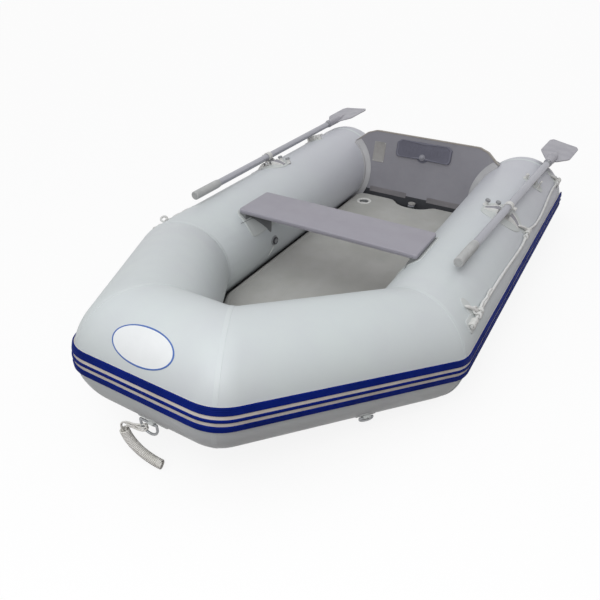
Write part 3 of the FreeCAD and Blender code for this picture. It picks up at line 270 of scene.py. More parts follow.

# Plain ones: colour, roughness, coat, specular level; the clouds' colour, scale and share; the grain's size
# and depth; how much the roughness varies; and for some the convex edges' colour, start, end and share.
PLAIN = {
    "patch_cloth": ((200, 204, 203), 0.50, 0.0, 0.40, (192, 197, 195), 14.0, 0.6, 0.0009, 0.00005, 0.06),
    "channel_rubber": ((186, 186, 188), 0.52, 0.0, 0.40, (170, 170, 173), 10.0, 0.7, 0.0011, 0.00008, 0.07),
    "edge_trim": ((158, 152, 145), 0.50, 0.0, 0.40, (142, 137, 131), 20.0, 0.7, 0.0011, 0.00007, 0.07),
    "seat_edge": ((140, 138, 146), 0.55, 0.0, 0.40, (122, 120, 128), 18.0, 0.7, 0.0009, 0.00006, 0.07),
    "flap_grey": ((128, 130, 131), 0.55, 0.0, 0.35, (114, 116, 117), 20.0, 0.7, 0.0009, 0.00006, 0.06),
    "badge_white": ((232, 235, 236), 0.40, 0.1, 0.42, (224, 227, 228), 12.0, 0.6, 0.0008, 0.00003, 0.05),
    "outline_blue": ((74, 108, 176), 0.45, 0.0, 0.40, (62, 94, 160), 40.0, 0.5, 0.0008, 0.00004, 0.05),
    "pad_rim": ((116, 116, 129), 0.50, 0.0, 0.40, (106, 106, 119), 12.0, 0.7, 0.0014, 0.00014, 0.07),
    "plate_grey": ((162, 160, 158), 0.50, 0.0, 0.42, (146, 144, 142), 28.0, 0.7, 0.0010, 0.00006, 0.07),
    "knob_grey": ((150, 150, 158), 0.45, 0.0, 0.42, (136, 136, 145), 26.0, 0.6, 0.0010, 0.00006, 0.07),
    "gusset_white": ((226, 226, 224), 0.42, 0.0, 0.40, (212, 212, 209), 30.0, 0.6, 0.0010, 0.00005, 0.07),
    # Painted shade: a grey copy of gusset_white, for the shaded faces of the rowlock gussets.
    "gusset_shaded": ((150, 149, 156), 0.45, 0.0, 0.40, (138, 137, 145), 30.0, 0.6, 0.0010, 0.00006, 0.07),
    "grip_rubber": ((188, 189, 188), 0.60, 0.0, 0.35, (172, 174, 174), 26.0, 0.7, 0.0012, 0.00014, 0.07),
    "pad_moulded": ((104, 104, 117), 0.55, 0.0, 0.40, (92, 92, 104), 12.0, 0.7, 0.0014, 0.00018, 0.07,
                    (150, 150, 160), 0.52, 0.60, 0.7),
    "pale_moulded": ((214, 214, 211), 0.42, 0.05, 0.45, (202, 202, 199), 30.0, 0.5, 0.0012, 0.00006, 0.08,
                     (224, 225, 224), 0.53, 0.62, 0.4),
    "grey_moulded": ((150, 152, 155), 0.46, 0.0, 0.45, (132, 134, 138), 35.0, 0.6, 0.0012, 0.0001, 0.08,
                     (182, 184, 186), 0.52, 0.62, 0.6),
    "dark_moulded": ((52, 53, 58), 0.50, 0.0, 0.45, (40, 41, 46), 30.0, 0.7, 0.0012, 0.0001, 0.08,
                     (92, 93, 98), 0.52, 0.62, 0.6),
    "oar_moulded": ((168, 167, 174), 0.45, 0.04, 0.42, (156, 155, 163), 18.0, 0.6, 0.0011, 0.00008, 0.08,
                    (204, 204, 208), 0.53, 0.62, 0.5),
}
for name, (colour, rough, coat, specular, clouds, scale, share, size, depth, spread, *edge_tint) in PLAIN.items():
    plain = Surface(name, colour, rough, coat=coat, specular=specular)
    plain.mottle(clouds, scale, share).grain(size, depth)
    if edge_tint:
        plain.edges(*edge_tint)
    plain.done(spread)


# ---------------------------------------------------------------- mesh helpers
def grid(rows, across, closed, first):
    """Faces of a grid of `rows` rings with `across` points each."""
    faces = []
    for i in range(rows - 1):
        for j in range(across if closed else across - 1):
            k = (j + 1) % across
            a, b = first + i * across, first + (i + 1) * across
            faces.append((a + j, a + k, b + k, b + j))
    return faces


class Build:
    """Collects the parts of one mesh."""

    def __init__(self):
        self.points, self.faces, self.mat_of = [], [], []

    def rings(self, rings, closed=True, mat=0, cap_first=False, cap_last=False, loop=False, mat_rows=None):
        """Skin a list of equally long rings of points."""
        first, across = len(self.points), len(rings[0])
        for ring in rings:
            self.points += [tuple(p) for p in ring]
        new = grid(len(rings), across, closed, first)
        per_row = across if closed else across - 1
        mats = [mat_rows[i // per_row] if mat_rows else mat for i in range(len(new))]
        last = first + (len(rings) - 1) * across
        if loop:
            for j in range(per_row):
                k = (j + 1) % across
                new.append((last + j, last + k, first + k, first + j))
                mats.append(mat)
        if cap_first:
            new.append(tuple(range(first + across - 1, first - 1, -1)))
            mats.append(mat_rows[0] if mat_rows else mat)
        if cap_last:
            new.append(tuple(range(last, last + across)))
            mats.append(mat_rows[-1] if mat_rows else mat)
        self.faces += new
        self.mat_of += mats
        return self

    def solid(self, rings, mat=0):
        return self.rings(rings, mat=mat, cap_first=True, cap_last=True)

    def plate(self, outline, levels, world, inner, centre=None, mat=0, mat_rows=None):
        """A patch or plate that is open at its back."""
        rings = shell(outline, levels, world, inner, centre)
        return self.rings(rings, cap_first=True, mat=mat, mat_rows=mat_rows)

    def slab(self, outline, low, high, edge, world, inner, centre=None, mat=0):
        """A closed plate between two heights with rounded edges all round."""
        turns = np.linspace(0, math.pi / 2, 5)
        top = [(edge * (1 - math.sin(t)), high - edge * (1 - math.cos(t))) for t in turns]
        bottom = [(edge * (1 - math.sin(t)), low + edge * (1 - math.cos(t))) for t in turns]
        upper = shell(outline, top, world, inner, centre)
        return self.solid(upper + shell(outline, bottom, world, inner, centre)[::-1], mat)

    def fill(self, outer, holes=()):
        """A flat face with holes, from loops of point numbers."""
        work = bmesh.new()
        loops = [outer, *holes]
        verts = {i: work.verts.new(self.points[i]) for loop in loops for i in loop}
        edges = [work.edges.new((verts[a], verts[b]))
                 for loop in loops for a, b in zip(loop, loop[1:] + loop[:1])]
        bmesh.ops.triangle_fill(work, use_beauty=True, edges=edges)
        number = {v: i for i, v in verts.items()}
        faces = [tuple(number[v] for v in f.verts) for f in work.faces]
        work.free()
        self.faces += faces
        self.mat_of += [0] * len(faces)

    def end(self, name, mats, body="hull", stands_for=(), slot=None, cloth=None, sharp=40.0):
        """The mesh object.  `cloth` gives each point its place on the flat fabric."""
        mesh = bpy.data.meshes.new(name)
        points = [tuple(map(float, p)) for p in self.points]
        mesh.from_pydata(points, [], [tuple(map(int, f)) for f in self.faces])
        mesh.validate()
        for mat in [mats] if isinstance(mats, str) else mats:
            mesh.materials.append(MATS[mat])
        for polygon, index in zip(mesh.polygons, self.mat_of, strict=True):
            polygon.material_index = int(index)
        if cloth is not None:
            layer = mesh.uv_layers.new(name="cloth")
            for loop in mesh.loops:
                layer.data[loop.index].uv = cloth[loop.vertex_index]
        work = bmesh.new()
        work.from_mesh(mesh)
        bmesh.ops.recalc_face_normals(work, faces=work.faces)
        work.to_mesh(mesh)
        work.free()
        mesh.polygons.foreach_set("use_smooth", [True] * len(mesh.polygons))
        mesh.set_sharp_from_angle(angle=deg(sharp))
        obj = bpy.data.objects.new(name, mesh)
        scene.collection.objects.link(obj)
        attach(obj, body)
        if stands_for:
            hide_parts(*stands_for)
        return obj


def frames(line):
    """Directions and steady side vectors along a line of points."""
    along = np.gradient(line, axis=0)
    along /= np.linalg.norm(along, axis=1)[:, None]
    side = unit(np.cross(along[0], X if abs(along[0][0]) < 0.8 else Z))
    sides = []
    for t in along:
        side = unit(side - t * np.dot(side, t))
        sides.append(side)
    sides = np.array(sides)
    return sides, np.cross(along, sides)


def tube_rings(line, radius, around):
    """Rings round a line; radius is a number, or a function of the angles and the place along the line."""
    line = np.asarray(line, float)
    side, other = frames(line)
    turn = circle(around)
    run = distances(line)
    rings = []
    for i, p in enumerate(line):
        r = radius(turn, run[i]) if callable(radius) else radius
        r = np.broadcast_to(r, turn.shape)[:, None]
        rings.append(p + (np.cos(turn)[:, None] * side[i] + np.sin(turn)[:, None] * other[i]) * r)
    return rings


def rings_along(path, radius_of, across_of, around):
    """Rings round a short path: a radius for each point and angle, and a direction across it at each point."""
    rings, last = [], len(path) - 1
    for i, p in enumerate(path):
        t = unit(path[min(i + 1, last)] - path[max(i - 1, 0)])
        a = unit(np.cross(t, across_of(p)))
        b = np.cross(t, a)
        rings.append([p + radius_of(i, u) * (a * math.cos(u) + b * math.sin(u)) for u in circle(around)])
    return rings


def spin(profile, place, around):
    """Rings of a turned shape: (distance along its axis, radius) pairs, put in place by a function."""
    return [[place(s, r * math.cos(t), r * math.sin(t)) for t in circle(around)] for s, r in profile]


def eased(low, high, ends):
    """Places from low to high and what comes off there; `ends` are (distance from an end, amount) pairs."""
    return [(low + s, amount) for s, amount in ends] + [(high - s, amount) for s, amount in reversed(ends)]


def rounded(profile, radius):
    """A polyline of (a, b) pairs with its inner corners rounded."""
    pts = [np.array(p, float) for p in profile]
    out = [pts[0]]
    for before, corner, after in zip(pts, pts[1:], pts[2:]):
        back, ahead = before - corner, after - corner
        reach = min(radius, 0.49 * np.linalg.norm(back), 0.49 * np.linalg.norm(ahead))
        out += bend(corner + unit(back) * reach, corner, corner + unit(ahead) * reach, 5)
    return out + [pts[-1]]


def densify(outline, step=0.02):
    """More points along the long straight stretches of a closed outline."""
    out = []
    for a, b in zip(outline, list(outline[1:]) + [outline[0]]):
        count = max(1, math.ceil(np.linalg.norm(b - a) / step))
        out += [a + (b - a) * k / count for k in range(count)]
    return [p for i, p in enumerate(out) if np.linalg.norm(p - out[i - 1]) > 1e-6]


def rounded_outline(corners, radii, steps):
    """A closed outline with each corner rounded, by one radius or its own."""
    pts, out = [np.array(c, float) for c in corners], []
    radii = np.broadcast_to(radii, len(pts))
    for i, corner in enumerate(pts):
        back, ahead = pts[i - 1] - corner, pts[(i + 1) % len(pts)] - corner
        half = math.acos(np.clip(np.dot(unit(back), unit(ahead)), -1, 1)) / 2
        reach = min(radii[i] / math.tan(half), 0.49 * np.linalg.norm(back), 0.49 * np.linalg.norm(ahead))
        out += bend(corner + unit(back) * reach, corner, corner + unit(ahead) * reach, steps + 1)
    return densify(out)


def rectangle(a0, a1, b0, b1, radii, steps):
    return rounded_outline([(a0, b0), (a1, b0), (a1, b1), (a0, b1)], radii, steps)


def box(half_a, half_b, radius, steps):
    return rectangle(-half_a, half_a, -half_b, half_b, radius, steps)


def oval(half_a, half_b, count, power=2.0):
    """An oval outline; a higher power is squarer, a lower one more pointed."""
    out = []
    for turn in circle(count):
        c, s = math.cos(turn), math.sin(turn)
        out.append(np.array([half_a * math.copysign(abs(c) ** (2 / power), c),
                             half_b * math.copysign(abs(s) ** (2 / power), s)]))
    return out


def shell(outline, levels, world, inner, centre=None):
    """Rings of a plate or patch: `levels` are (inset, height) pairs from its face out to its edge and on."""
    outline = np.array(outline, float)
    centre = outline.mean(0) if centre is None else np.array(centre, float)
    reach = np.linalg.norm(outline - centre, axis=1)[:, None]
    inset, height = levels[0]
    shares = [(share, inset, height) for share in np.linspace(0.02, 1, inner, endpoint=False)]
    shares += [(1.0, inset, height) for inset, height in levels]
    return [[world(*p, height) for p in centre + (outline - centre) * share * (1 - inset / reach)]
            for share, inset, height in shares]


def inward(outline):
    """Unit vectors that point into a closed outline."""
    p = np.array(outline)
    along = np.roll(p, -1, axis=0) - np.roll(p, 1, axis=0)
    side = np.stack([-along[:, 1], along[:, 0]], axis=1)
    side /= np.linalg.norm(side, axis=1)[:, None]
    area = np.sum(p[:, 0] * np.roll(p[:, 1], -1) - np.roll(p[:, 0], -1) * p[:, 1])
    return side if area > 0 else -side


# ---------------------------------------------------------------- cords
def spline_points(route, step):
    """Points read along the smooth curve that a route controls, about `step` apart."""
    data = bpy.data.curves.new("route", "CURVE")
    data.dimensions = "3D"
    spline = data.splines.new("NURBS")
    spline.points.add(len(route) - 1)
    for point, place in zip(spline.points, route, strict=True):
        point.co = (*map(float, place), 1.0)
    spline.order_u = 3
    spline.use_endpoint_u = True
    spline.resolution_u = 10
    mesh = bpy.data.meshes.new_from_object(bpy.data.objects.new("route", data))
    line = np.array([v.co for v in mesh.vertices], float)
    bpy.data.meshes.remove(mesh)
    bpy.data.curves.remove(data)
    run = distances(line)
    at = np.linspace(0, run[-1], max(2, math.ceil(run[-1] / step) + 1))
    return np.stack([np.interp(at, run, line[:, k]) for k in range(3)], axis=1)


def braid(radius, strands, pitch, relief):
    """The bumps of a plaited rope: two sets of strands that cross."""
    def height(turn, run):
        a = np.sin(strands / 2 * (turn + 2 * math.pi * run / pitch))
        b = np.sin(strands / 2 * (turn - 2 * math.pi * run / pitch))
        return radius - relief + relief * 1.6 * np.sqrt(np.abs(a * b))
    return height


def rope(name, route, radius, mat, stands_for, strands=8, pitch=0.034, relief=0.0007, step=0.0014, around=20):
    line = spline_points(route, step)
    build = Build().solid(tube_rings(line, braid(radius, strands, pitch, relief), around))
    return build.end(name, mat, stands_for=stands_for, slot="rope", sharp=80.0), line


def on_side(aft, angle, lift, hand=1):
    """A point on a side tube: distance aft of its mitre, angle above the level of its middle, height off it."""
    a, r = deg(angle), TUBE_R + lift
    return np.array([hand * (MITRE[0] + r * math.cos(a)), MITRE_Y + aft, MITRE[2] + r * math.sin(a)])


# Each point of a grab line, as on_side takes it, and how much higher the left one runs at some of them.
GRAB_ROUTE = (
    (0.028, 33.0, 0.0086), (0.076, 33.1, 0.0086), (0.126, 33.5, 0.0074), (0.186, 33.6, 0.0065),
    (0.256, 33.4, 0.0060), (0.336, 33.0, 0.0059), (0.426, 32.2, 0.0059), (0.516, 30.8, 0.0059),
    (0.590, 29.6, 0.0059), (0.650, 29.3, 0.0062), (0.694, 31.2, 0.0075), (0.728, 32.9, 0.0086),
    (0.782, 33.1, 0.0086), (0.816, 31.0, 0.0075), (0.856, 28.4, 0.0063), (0.905, 27.3, 0.0059),
    (0.970, 27.5, 0.0059), (1.040, 29.0, 0.0059), (1.115, 31.2, 0.0059), (1.190, 33.0, 0.0061),
    (1.250, 33.9, 0.0066), (1.296, 33.5, 0.0077), (1.336, 33.0, 0.0086), (1.384, 33.1, 0.0086),
)
LEFT_RISE = {2: 3.5, 3: 5.5, 4: 3.0}
grab_lines = {}
for side_name, rises in (("right", {}), ("left", LEFT_RISE)):
    sign = HANDS[side_name][0]
    route = [on_side(aft, angle + rises.get(i, 0.0), lift, sign)
             for i, (aft, angle, lift) in enumerate(GRAB_ROUTE)]
    grab_lines[side_name] = rope("rope_" + side_name, route, 0.005, "rope_yarn", ["grab_line_" + side_name])

# The painter: through the bow ring, down the middle of its hank, round and round it back up, and through
# the ring twice more.  Its points lie across, ahead of and above the ring's bar.
RING_BAR = np.array([0.0, -1.146048, 0.175563])
HANK_ROUTE = ((-0.1035, 0.0147, -0.0330), (-0.1020, 0.0145, -0.0460), (-0.0973, 0.0135, -0.0722),
              (-0.0872, 0.0115, -0.0972), (-0.0717, 0.0085, -0.1193), (-0.0516, 0.0050, -0.1374),
              (-0.0285, 0.0010, -0.1508), (-0.0045, -0.0030, -0.1600), (0.0070, -0.0050, -0.1608))
PAINTER_START = ((-0.0310, -0.0040, -0.0210), (-0.0430, 0.0040, -0.0215), (-0.0560, 0.0100, -0.0218),
                 (-0.0740, 0.0125, -0.0228), (-0.0900, 0.0145, -0.0250), (-0.1005, 0.0180, -0.0320),
                 (-0.1040, 0.0190, -0.0450), (-0.1010, 0.0190, -0.0600), (-0.0965, 0.0175, -0.0760))
PAINTER_BACK = ((-0.0885, 0.0060, -0.0400), (-0.0790, 0.0070, -0.0350), (-0.0660, 0.0070, -0.0305),
                (-0.0540, 0.0090, -0.0272), (-0.0400, 0.0110, -0.0262), (-0.0285, 0.0070, -0.0255),
                (-0.0250, -0.0010, -0.0250), (-0.0290, -0.0095, -0.0255), (-0.0395, -0.0095, -0.0275),
                (-0.0500, 0.0000, -0.0310), (-0.0620, 0.0120, -0.0315), (-0.0780, 0.0150, -0.0305),
                (-0.0940, 0.0110, -0.0310), (-0.1050, 0.0125, -0.0375), (-0.1080, 0.0145, -0.0480),
                (-0.1060, 0.0145, -0.0600), (-0.1035, 0.0145, -0.0680), (-0.0965, 0.0145, -0.0720),
                (-0.0900, 0.0145, -0.0665), (-0.0910, 0.0145, -0.0560), (-0.0905, 0.0140, -0.0470),
                (-0.0835, 0.0130, -0.0395), (-0.0720, 0.0125, -0.0370), (-0.0580, 0.0115, -0.0360),
                (-0.0430, 0.0110, -0.0355), (-0.0285, 0.0080, -0.0345), (-0.0235, 0.0000, -0.0338),
                (-0.0270, -0.0090, -0.0340), (-0.0375, -0.0095, -0.0362), (-0.0490, 0.0000, -0.0385),
                (-0.0620, 0.0070, -0.0400), (-0.0740, 0.0075, -0.0410), (-0.0850, 0.0085, -0.0440),
                (-0.0930, 0.0100, -0.0500), (-0.0965, 0.0115, -0.0600))
HANK_TURN_R = 0.0120
HANK_PITCH = 0.0051
POINTS_A_TURN = 14
WRAPS_TOP = 0.027       # where the wraps end, below the top of the hank
FIRST_WRAP = 0.85       # of a turn, where they start


def by_ring(places):
    return [RING_BAR + (x, -ahead, up) for x, ahead, up in places]


axis_line = spline_points(by_ring(HANK_ROUTE), 0.0005)
axis_run = distances(axis_line)
axis_side, axis_other = frames(axis_line)


def round_hank(run, turn, radius):
    i = int(np.searchsorted(axis_run, run).clip(0, len(axis_run) - 1))
    return axis_line[i] + radius * (math.cos(turn) * axis_side[i] + math.sin(turn) * axis_other[i])


hank_end = axis_run[-1] - 0.003
turns = int((hank_end - WRAPS_TOP) / HANK_PITCH) + 0.65
painter_route = by_ring(PAINTER_START)
painter_route += [round_hank(run, 0.0, 0.0) for run in np.arange(0.058, hank_end - 0.016, 0.012)]
painter_route += [round_hank(hank_end - 0.008, math.pi, 0.003), round_hank(hank_end, math.pi * 1.4, 0.0085)]
for k in range(int(turns * POINTS_A_TURN) + 1):
    share = k / (turns * POINTS_A_TURN)
    run = hank_end + (WRAPS_TOP - hank_end) * share
    painter_route.append(round_hank(run, math.pi * 2 * (FIRST_WRAP + turns * share), HANK_TURN_R))
for rise, turn in ((0.0030, 0.050), (0.0085, 0.085), (0.0150, 0.100)):
    painter_route.append(round_hank(WRAPS_TOP - rise, math.pi * 2 * (FIRST_WRAP + turns + turn), HANK_TURN_R))
painter_route += by_ring(PAINTER_BACK)
painter, painter_line = rope("painter", painter_route, 0.0025, "painter_yarn", ["painter_rope", "painter_hank"],
                             strands=6, pitch=0.016, relief=0.0001, step=0.0011, around=12)
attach(painter, "bow_ring")


# ---------------------------------------------------------------- the buoyancy tubes' rails
def turned(direction, start, end):
    """Carry a direction round a bend, from one tube to the next."""
    axis = np.cross(start, end)
    s, c = np.linalg.norm(axis), np.dot(start, end)
    axis = axis / s
    direction = np.asarray(direction, float)
    along = direction @ axis
    return direction * c + np.cross(axis, direction) * s + np.outer(along, axis) * (1 - c)


T_SIDE, T_SHOULDER, T_BOW = -Y, unit(BOW - MITRE), -X
SHOULDER_OUT = unit(np.cross(Z, T_SHOULDER))
SHOULDER_UP = np.cross(T_SHOULDER, SHOULDER_OUT)
# How far before and after a mitre the surface curves: on the inside of the bend, and on the outside.
MITRE_CURVE = ((0.010, 0.040), (0.012, 0.074))


class Rails:
    """Lines along the right half of the hull, from the stern to the middle of the bow, at given angles."""

    def __init__(self, angles, radii):
        a = np.radians(np.asarray(angles, float))
        self.r = np.broadcast_to(np.asarray(radii, float), a.shape)[:, None]
        self.angles = a
        self.tangents = [T_SIDE, T_SHOULDER, T_BOW]
        self.normals = [np.outer(np.cos(a), X) + np.outer(np.sin(a), Z)]
        self.corners, self.curve, self.outside = [], [], []
        for k, centre in enumerate((MITRE, BOW)):
            t, u = self.tangents[k], self.tangents[k + 1]
            plane = unit(t + u)
            d = self.normals[k]
            self.normals.append(turned(d, t, u))
            self.corners.append(centre + self.r * (d - np.outer((d @ plane) / (t @ plane), t)))
            out = np.clip((d + self.normals[k + 1]) / 2 @ unit(t - u), -1, 1)
            low, high = MITRE_CURVE[k]
            self.curve.append(low + (high - low) * ((out + 1) / 2) ** 1.5)
            self.outside.append(out)

    def near(self, k, u):
        """Points at signed distances u along the rails from mitre k."""
        u = np.broadcast_to(u, self.curve[k].shape)[:, None]
        reach = self.curve[k][:, None]
        corner, t, v = self.corners[k], self.tangents[k], self.tangents[k + 1]
        w = (u + reach) / (2 * reach)
        curved = (1 - w) ** 2 * (corner - reach * t) + 2 * w * (1 - w) * corner + w ** 2 * (corner + reach * v)
        straight = np.where(u < 0, corner + u * t, corner + u * v)
        return np.where(np.abs(u) < reach, curved, straight)

    def bent(self, k, count):
        """Rings round mitre k, with small pleats on the inside of the bend."""
        rings = []
        for w in np.linspace(-1, 1, count, endpoint=False):
            tuck = smooth((-self.outside[k] - 0.45) / 0.5) * (1 - w * w) ** 2
            pleat = 0.5 + 0.5 * np.cos(self.angles * 34 + k)
            drop = (0.0045 * tuck * pleat)[:, None] * (self.r > 0.17)
            rings.append(self.near(k, w * self.curve[k]) - drop * (self.normals[k] + self.normals[k + 1]) / 2)
        return rings

    def along(self, aft):
        """Rings from a place near the stern forward to x = 0."""
        start = STERN + self.r * self.normals[0] + (aft - STERN_Y) * Y
        last = self.near(1, self.curve[1])
        tip = last * (Y + Z)

        def straight(a, b, count):
            return [a + (b - a) * w for w in np.linspace(0, 1, count, endpoint=False)]

        rings = straight(start, self.near(0, -self.curve[0]), 10) + self.bent(0, 12)
        rings += straight(self.near(0, self.curve[0]), self.near(1, -self.curve[1]), 8) + self.bent(1, 16)
        return rings + straight(last, tip, 5) + [tip]


def both_halves(rings):
    """The right half's rings, then their mirror images back to the left stern."""
    return list(rings) + [ring * HANDS["left"] for ring in rings[-2::-1]]


# ---------------------------------------------------------------- tubes
hull_angles = np.linspace(0, 360, 168, endpoint=False)
hull_rails = Rails(hull_angles, TUBE_R)
CONE_SLOPE = (TUBE_R - CONE_TIP_R) / CONE_LEN
CONE_BLEND = 0.04       # how far before and after its start the cone curves
tail = [(STERN_Y + CONE_LEN * w, TUBE_R - CONE_SLOPE * CONE_LEN * w) for w in np.linspace(1, 0.22, 9)]
tail += bend(np.array([STERN_Y + CONE_BLEND, TUBE_R - CONE_SLOPE * CONE_BLEND]), np.array([STERN_Y, TUBE_R]),
             np.array([STERN_Y - CONE_BLEND, TUBE_R]), 8)
tail = [STERN * (X + Z) + Y * y + r * hull_rails.normals[0] for y, r in tail]
hull_rings = both_halves(tail + hull_rails.along(STERN_Y - 0.041))
stack = np.array(hull_rings)
steps = np.linalg.norm(np.diff(stack, axis=0), axis=2)
run = np.concatenate([np.zeros((1, stack.shape[1])), np.cumsum(steps, axis=0)])
flat = np.stack([run, np.broadcast_to(np.radians(hull_angles) * TUBE_R, run.shape)], axis=2).reshape(-1, 2)
Build().solid(hull_rings).end(
    "tubes", "tube_cloth", cloth=flat, sharp=60.0, slot="tube_fabric",
    stands_for=["side_tube_right", "side_tube_left", "shoulder_tube_right", "shoulder_tube_left", "bow_tube"])

TAPE = ((-0.0075, -0.0004), (-0.0069, 0.0007), (0.0069, 0.0007), (0.0075, -0.0004))
tapes = Build()
for k in (0, 1):
    for side in HANDS.values():
        tapes.rings([Rails(np.linspace(0, 360, 240, endpoint=False), TUBE_R + lift).near(k, u) * side
                     for u, lift in TAPE])
for side in HANDS.values():
    for middle in (STERN_Y - 0.060, STERN_Y + 0.150):
        rings = []
        for u, lift in TAPE:
            y = middle + u
            r = TUBE_R - max(0.0, y - STERN_Y) * CONE_SLOPE + lift
            rings.append((STERN * (X + Z) + Y * y + r * hull_rails.normals[0]) * side)
        tapes.rings(rings)
tapes.points = [(x, y, max(z, 0.0)) for x, y, z in tapes.points]    # flat where the tubes stand on the floor
tapes.end("seam_tapes", "tape_cloth", sharp=50.0, slot="tube_fabric")

caps = Build()
cap_profile = [(-0.001, 0.0005)] + rounded([(-0.001, 0.060), (0.0093, 0.062), (0.0093, 0.030), (0.0070, 0.026),
                                           (0.0070, 0.0005)], 0.0028)
for side in HANDS.values():
    tip = STERN * side + Y * CONE_LEN
    caps.solid(spin(cap_profile, lambda s, a, b: tip + (-b, s, -a), 64))
caps.end("tail_caps", "grey_moulded", stands_for=["stern_caps"], slot="cap_rubber")

walls = Build()
rim = Rails(np.linspace(0, 360, 96, endpoint=False), TUBE_R - 0.002).corners[0]
for side in HANDS.values():
    walls.rings([(MITRE + (rim - MITRE) * s + T_SIDE * 0.012 * (1 - s * s)) * side
                 for s in (0.01, 0.25, 0.5, 0.75, 1.0)])
walls.end("chamber_walls", "tube_cloth", stands_for=["air_baffles"], slot="tube_fabric")

# ---------------------------------------------------------------- rubbing strake
BASE_OUT, RIB_OUT = TUBE_R + 0.00275, TUBE_R + 0.00575
STRAKE_EDGES = (13.0, 6.0, 2.7, -0.1, -3.7, -9.3)   # angles of the ribs' edges
STRAKE_START = STERN_Y - 0.004
GROOVE = 0.0009


def strip(name, mat, sections, **more):
    """Sweep closed sections of (angle, radius) pairs along the whole hull."""
    build = Build()
    for section in sections:
        rails = Rails([a for a, _ in section], [r for _, r in section])
        build.solid(both_halves(rails.along(STRAKE_START)))
    build.end(name, mat, sharp=50.0, **more)


def rib_section(top, low, inner, outer, grooves=0):
    """A rounded rib, with fine grooves along it."""
    edge = math.degrees(0.0022 / TUBE_R)
    side = [(edge * (1 - math.cos(t)), inner + (outer - inner) * math.sin(t))
            for t in np.linspace(0, math.pi / 2, 5)]
    out = [(top, inner)] + [(top - a, r) for a, r in side]
    start, end = top - edge, low + edge
    for w in np.linspace(0, 1, max(2, grooves * 8) + 1)[1:-1]:
        crest = GROOVE * (0.5 - 0.5 * math.cos(2 * math.pi * w * (grooves + 1))) - GROOVE if grooves else 0.0
        out.append((start + (end - start) * w, outer + crest))
    return out + [(low + a, r) for a, r in reversed(side)] + [(low, inner)]


strip("strake_pale_band", "strake_white", stands_for=["strake_base"], slot="strake_pale",
      sections=[rib_section(STRAKE_EDGES[0] - 0.15, STRAKE_EDGES[-1] + 0.15, TUBE_R - 0.0005, BASE_OUT)])
strip("strake_blue_bands", "strake_blue", stands_for=["strake_ribs"], slot="strake_blue",
      sections=[rib_section(STRAKE_EDGES[k], STRAKE_EDGES[k + 1], BASE_OUT - 0.0006, RIB_OUT, grooves)
                for k, grooves in ((0, 3), (2, 0), (4, 2))])


# ---------------------------------------------------------------- badge
def on_bow(across, around, lift):
    """A point on the bow tube; `around` is measured up the surface from 45 degrees above its middle."""
    a, r = deg(45) + around / TUBE_R, TUBE_R + lift
    return np.array([across - 0.005, BOW[1] - r * math.cos(a), BOW[2] + r * math.sin(a)])


levels = [(0.0045, 0.0012), (0.0043, 0.0014), (0.0016, 0.0014), (0.0006, 0.0013), (0.0, 0.0009), (0.0, 0.0)]
Build().plate(oval(0.099, 0.0515, 96), levels, on_bow, 8, mat_rows=[0] * 8 + [1] * (len(levels) - 1)).end(
    "badge_plate", ["badge_white", "outline_blue"], stands_for=["badge"], slot="tube_fabric")

# ---------------------------------------------------------------- oars
LEAN = deg(20.0)
ROW_UP = np.array([math.sin(LEAN), 0.0, math.cos(LEAN)])
ROW_OUT = np.array([math.cos(LEAN), 0.0, -math.sin(LEAN)])
ROW_FOOT = np.array([0.529564, 0.247704, 0.349145])
OAR_H = 0.038           # the oar's axis above the rowlock's foot
PIVOT = ROW_FOOT + ROW_UP * OAR_H
YAW = {"right": 2.8, "left": 0.6}
TILT = {"right": 10.0, "left": 5.0}
SHAFT_R = 0.014
GRIP_R = 0.0169
BLADE_NECK, OAR_TIP, BLADE_HALF = 0.610, 0.935, 0.069


def at_rowlock(hand, x, y, z):
    return (ROW_FOOT + ROW_OUT * x + Y * y + ROW_UP * z) * HANDS[hand]


def at_oar(hand, x, y, z):
    """Across the blade, along the oar from its pin, off the blade's face."""
    yaw, tilt = deg(YAW[hand]), deg(TILT[hand])
    aim = unit(ROW_OUT * math.sin(yaw) + Y * math.cos(yaw))
    face = np.array([math.cos(tilt), 0.0, -math.sin(tilt)])
    face = unit(face - aim * np.dot(face, aim))
    return (PIVOT + face * x + aim * y + np.cross(face, aim) * z) * HANDS[hand]


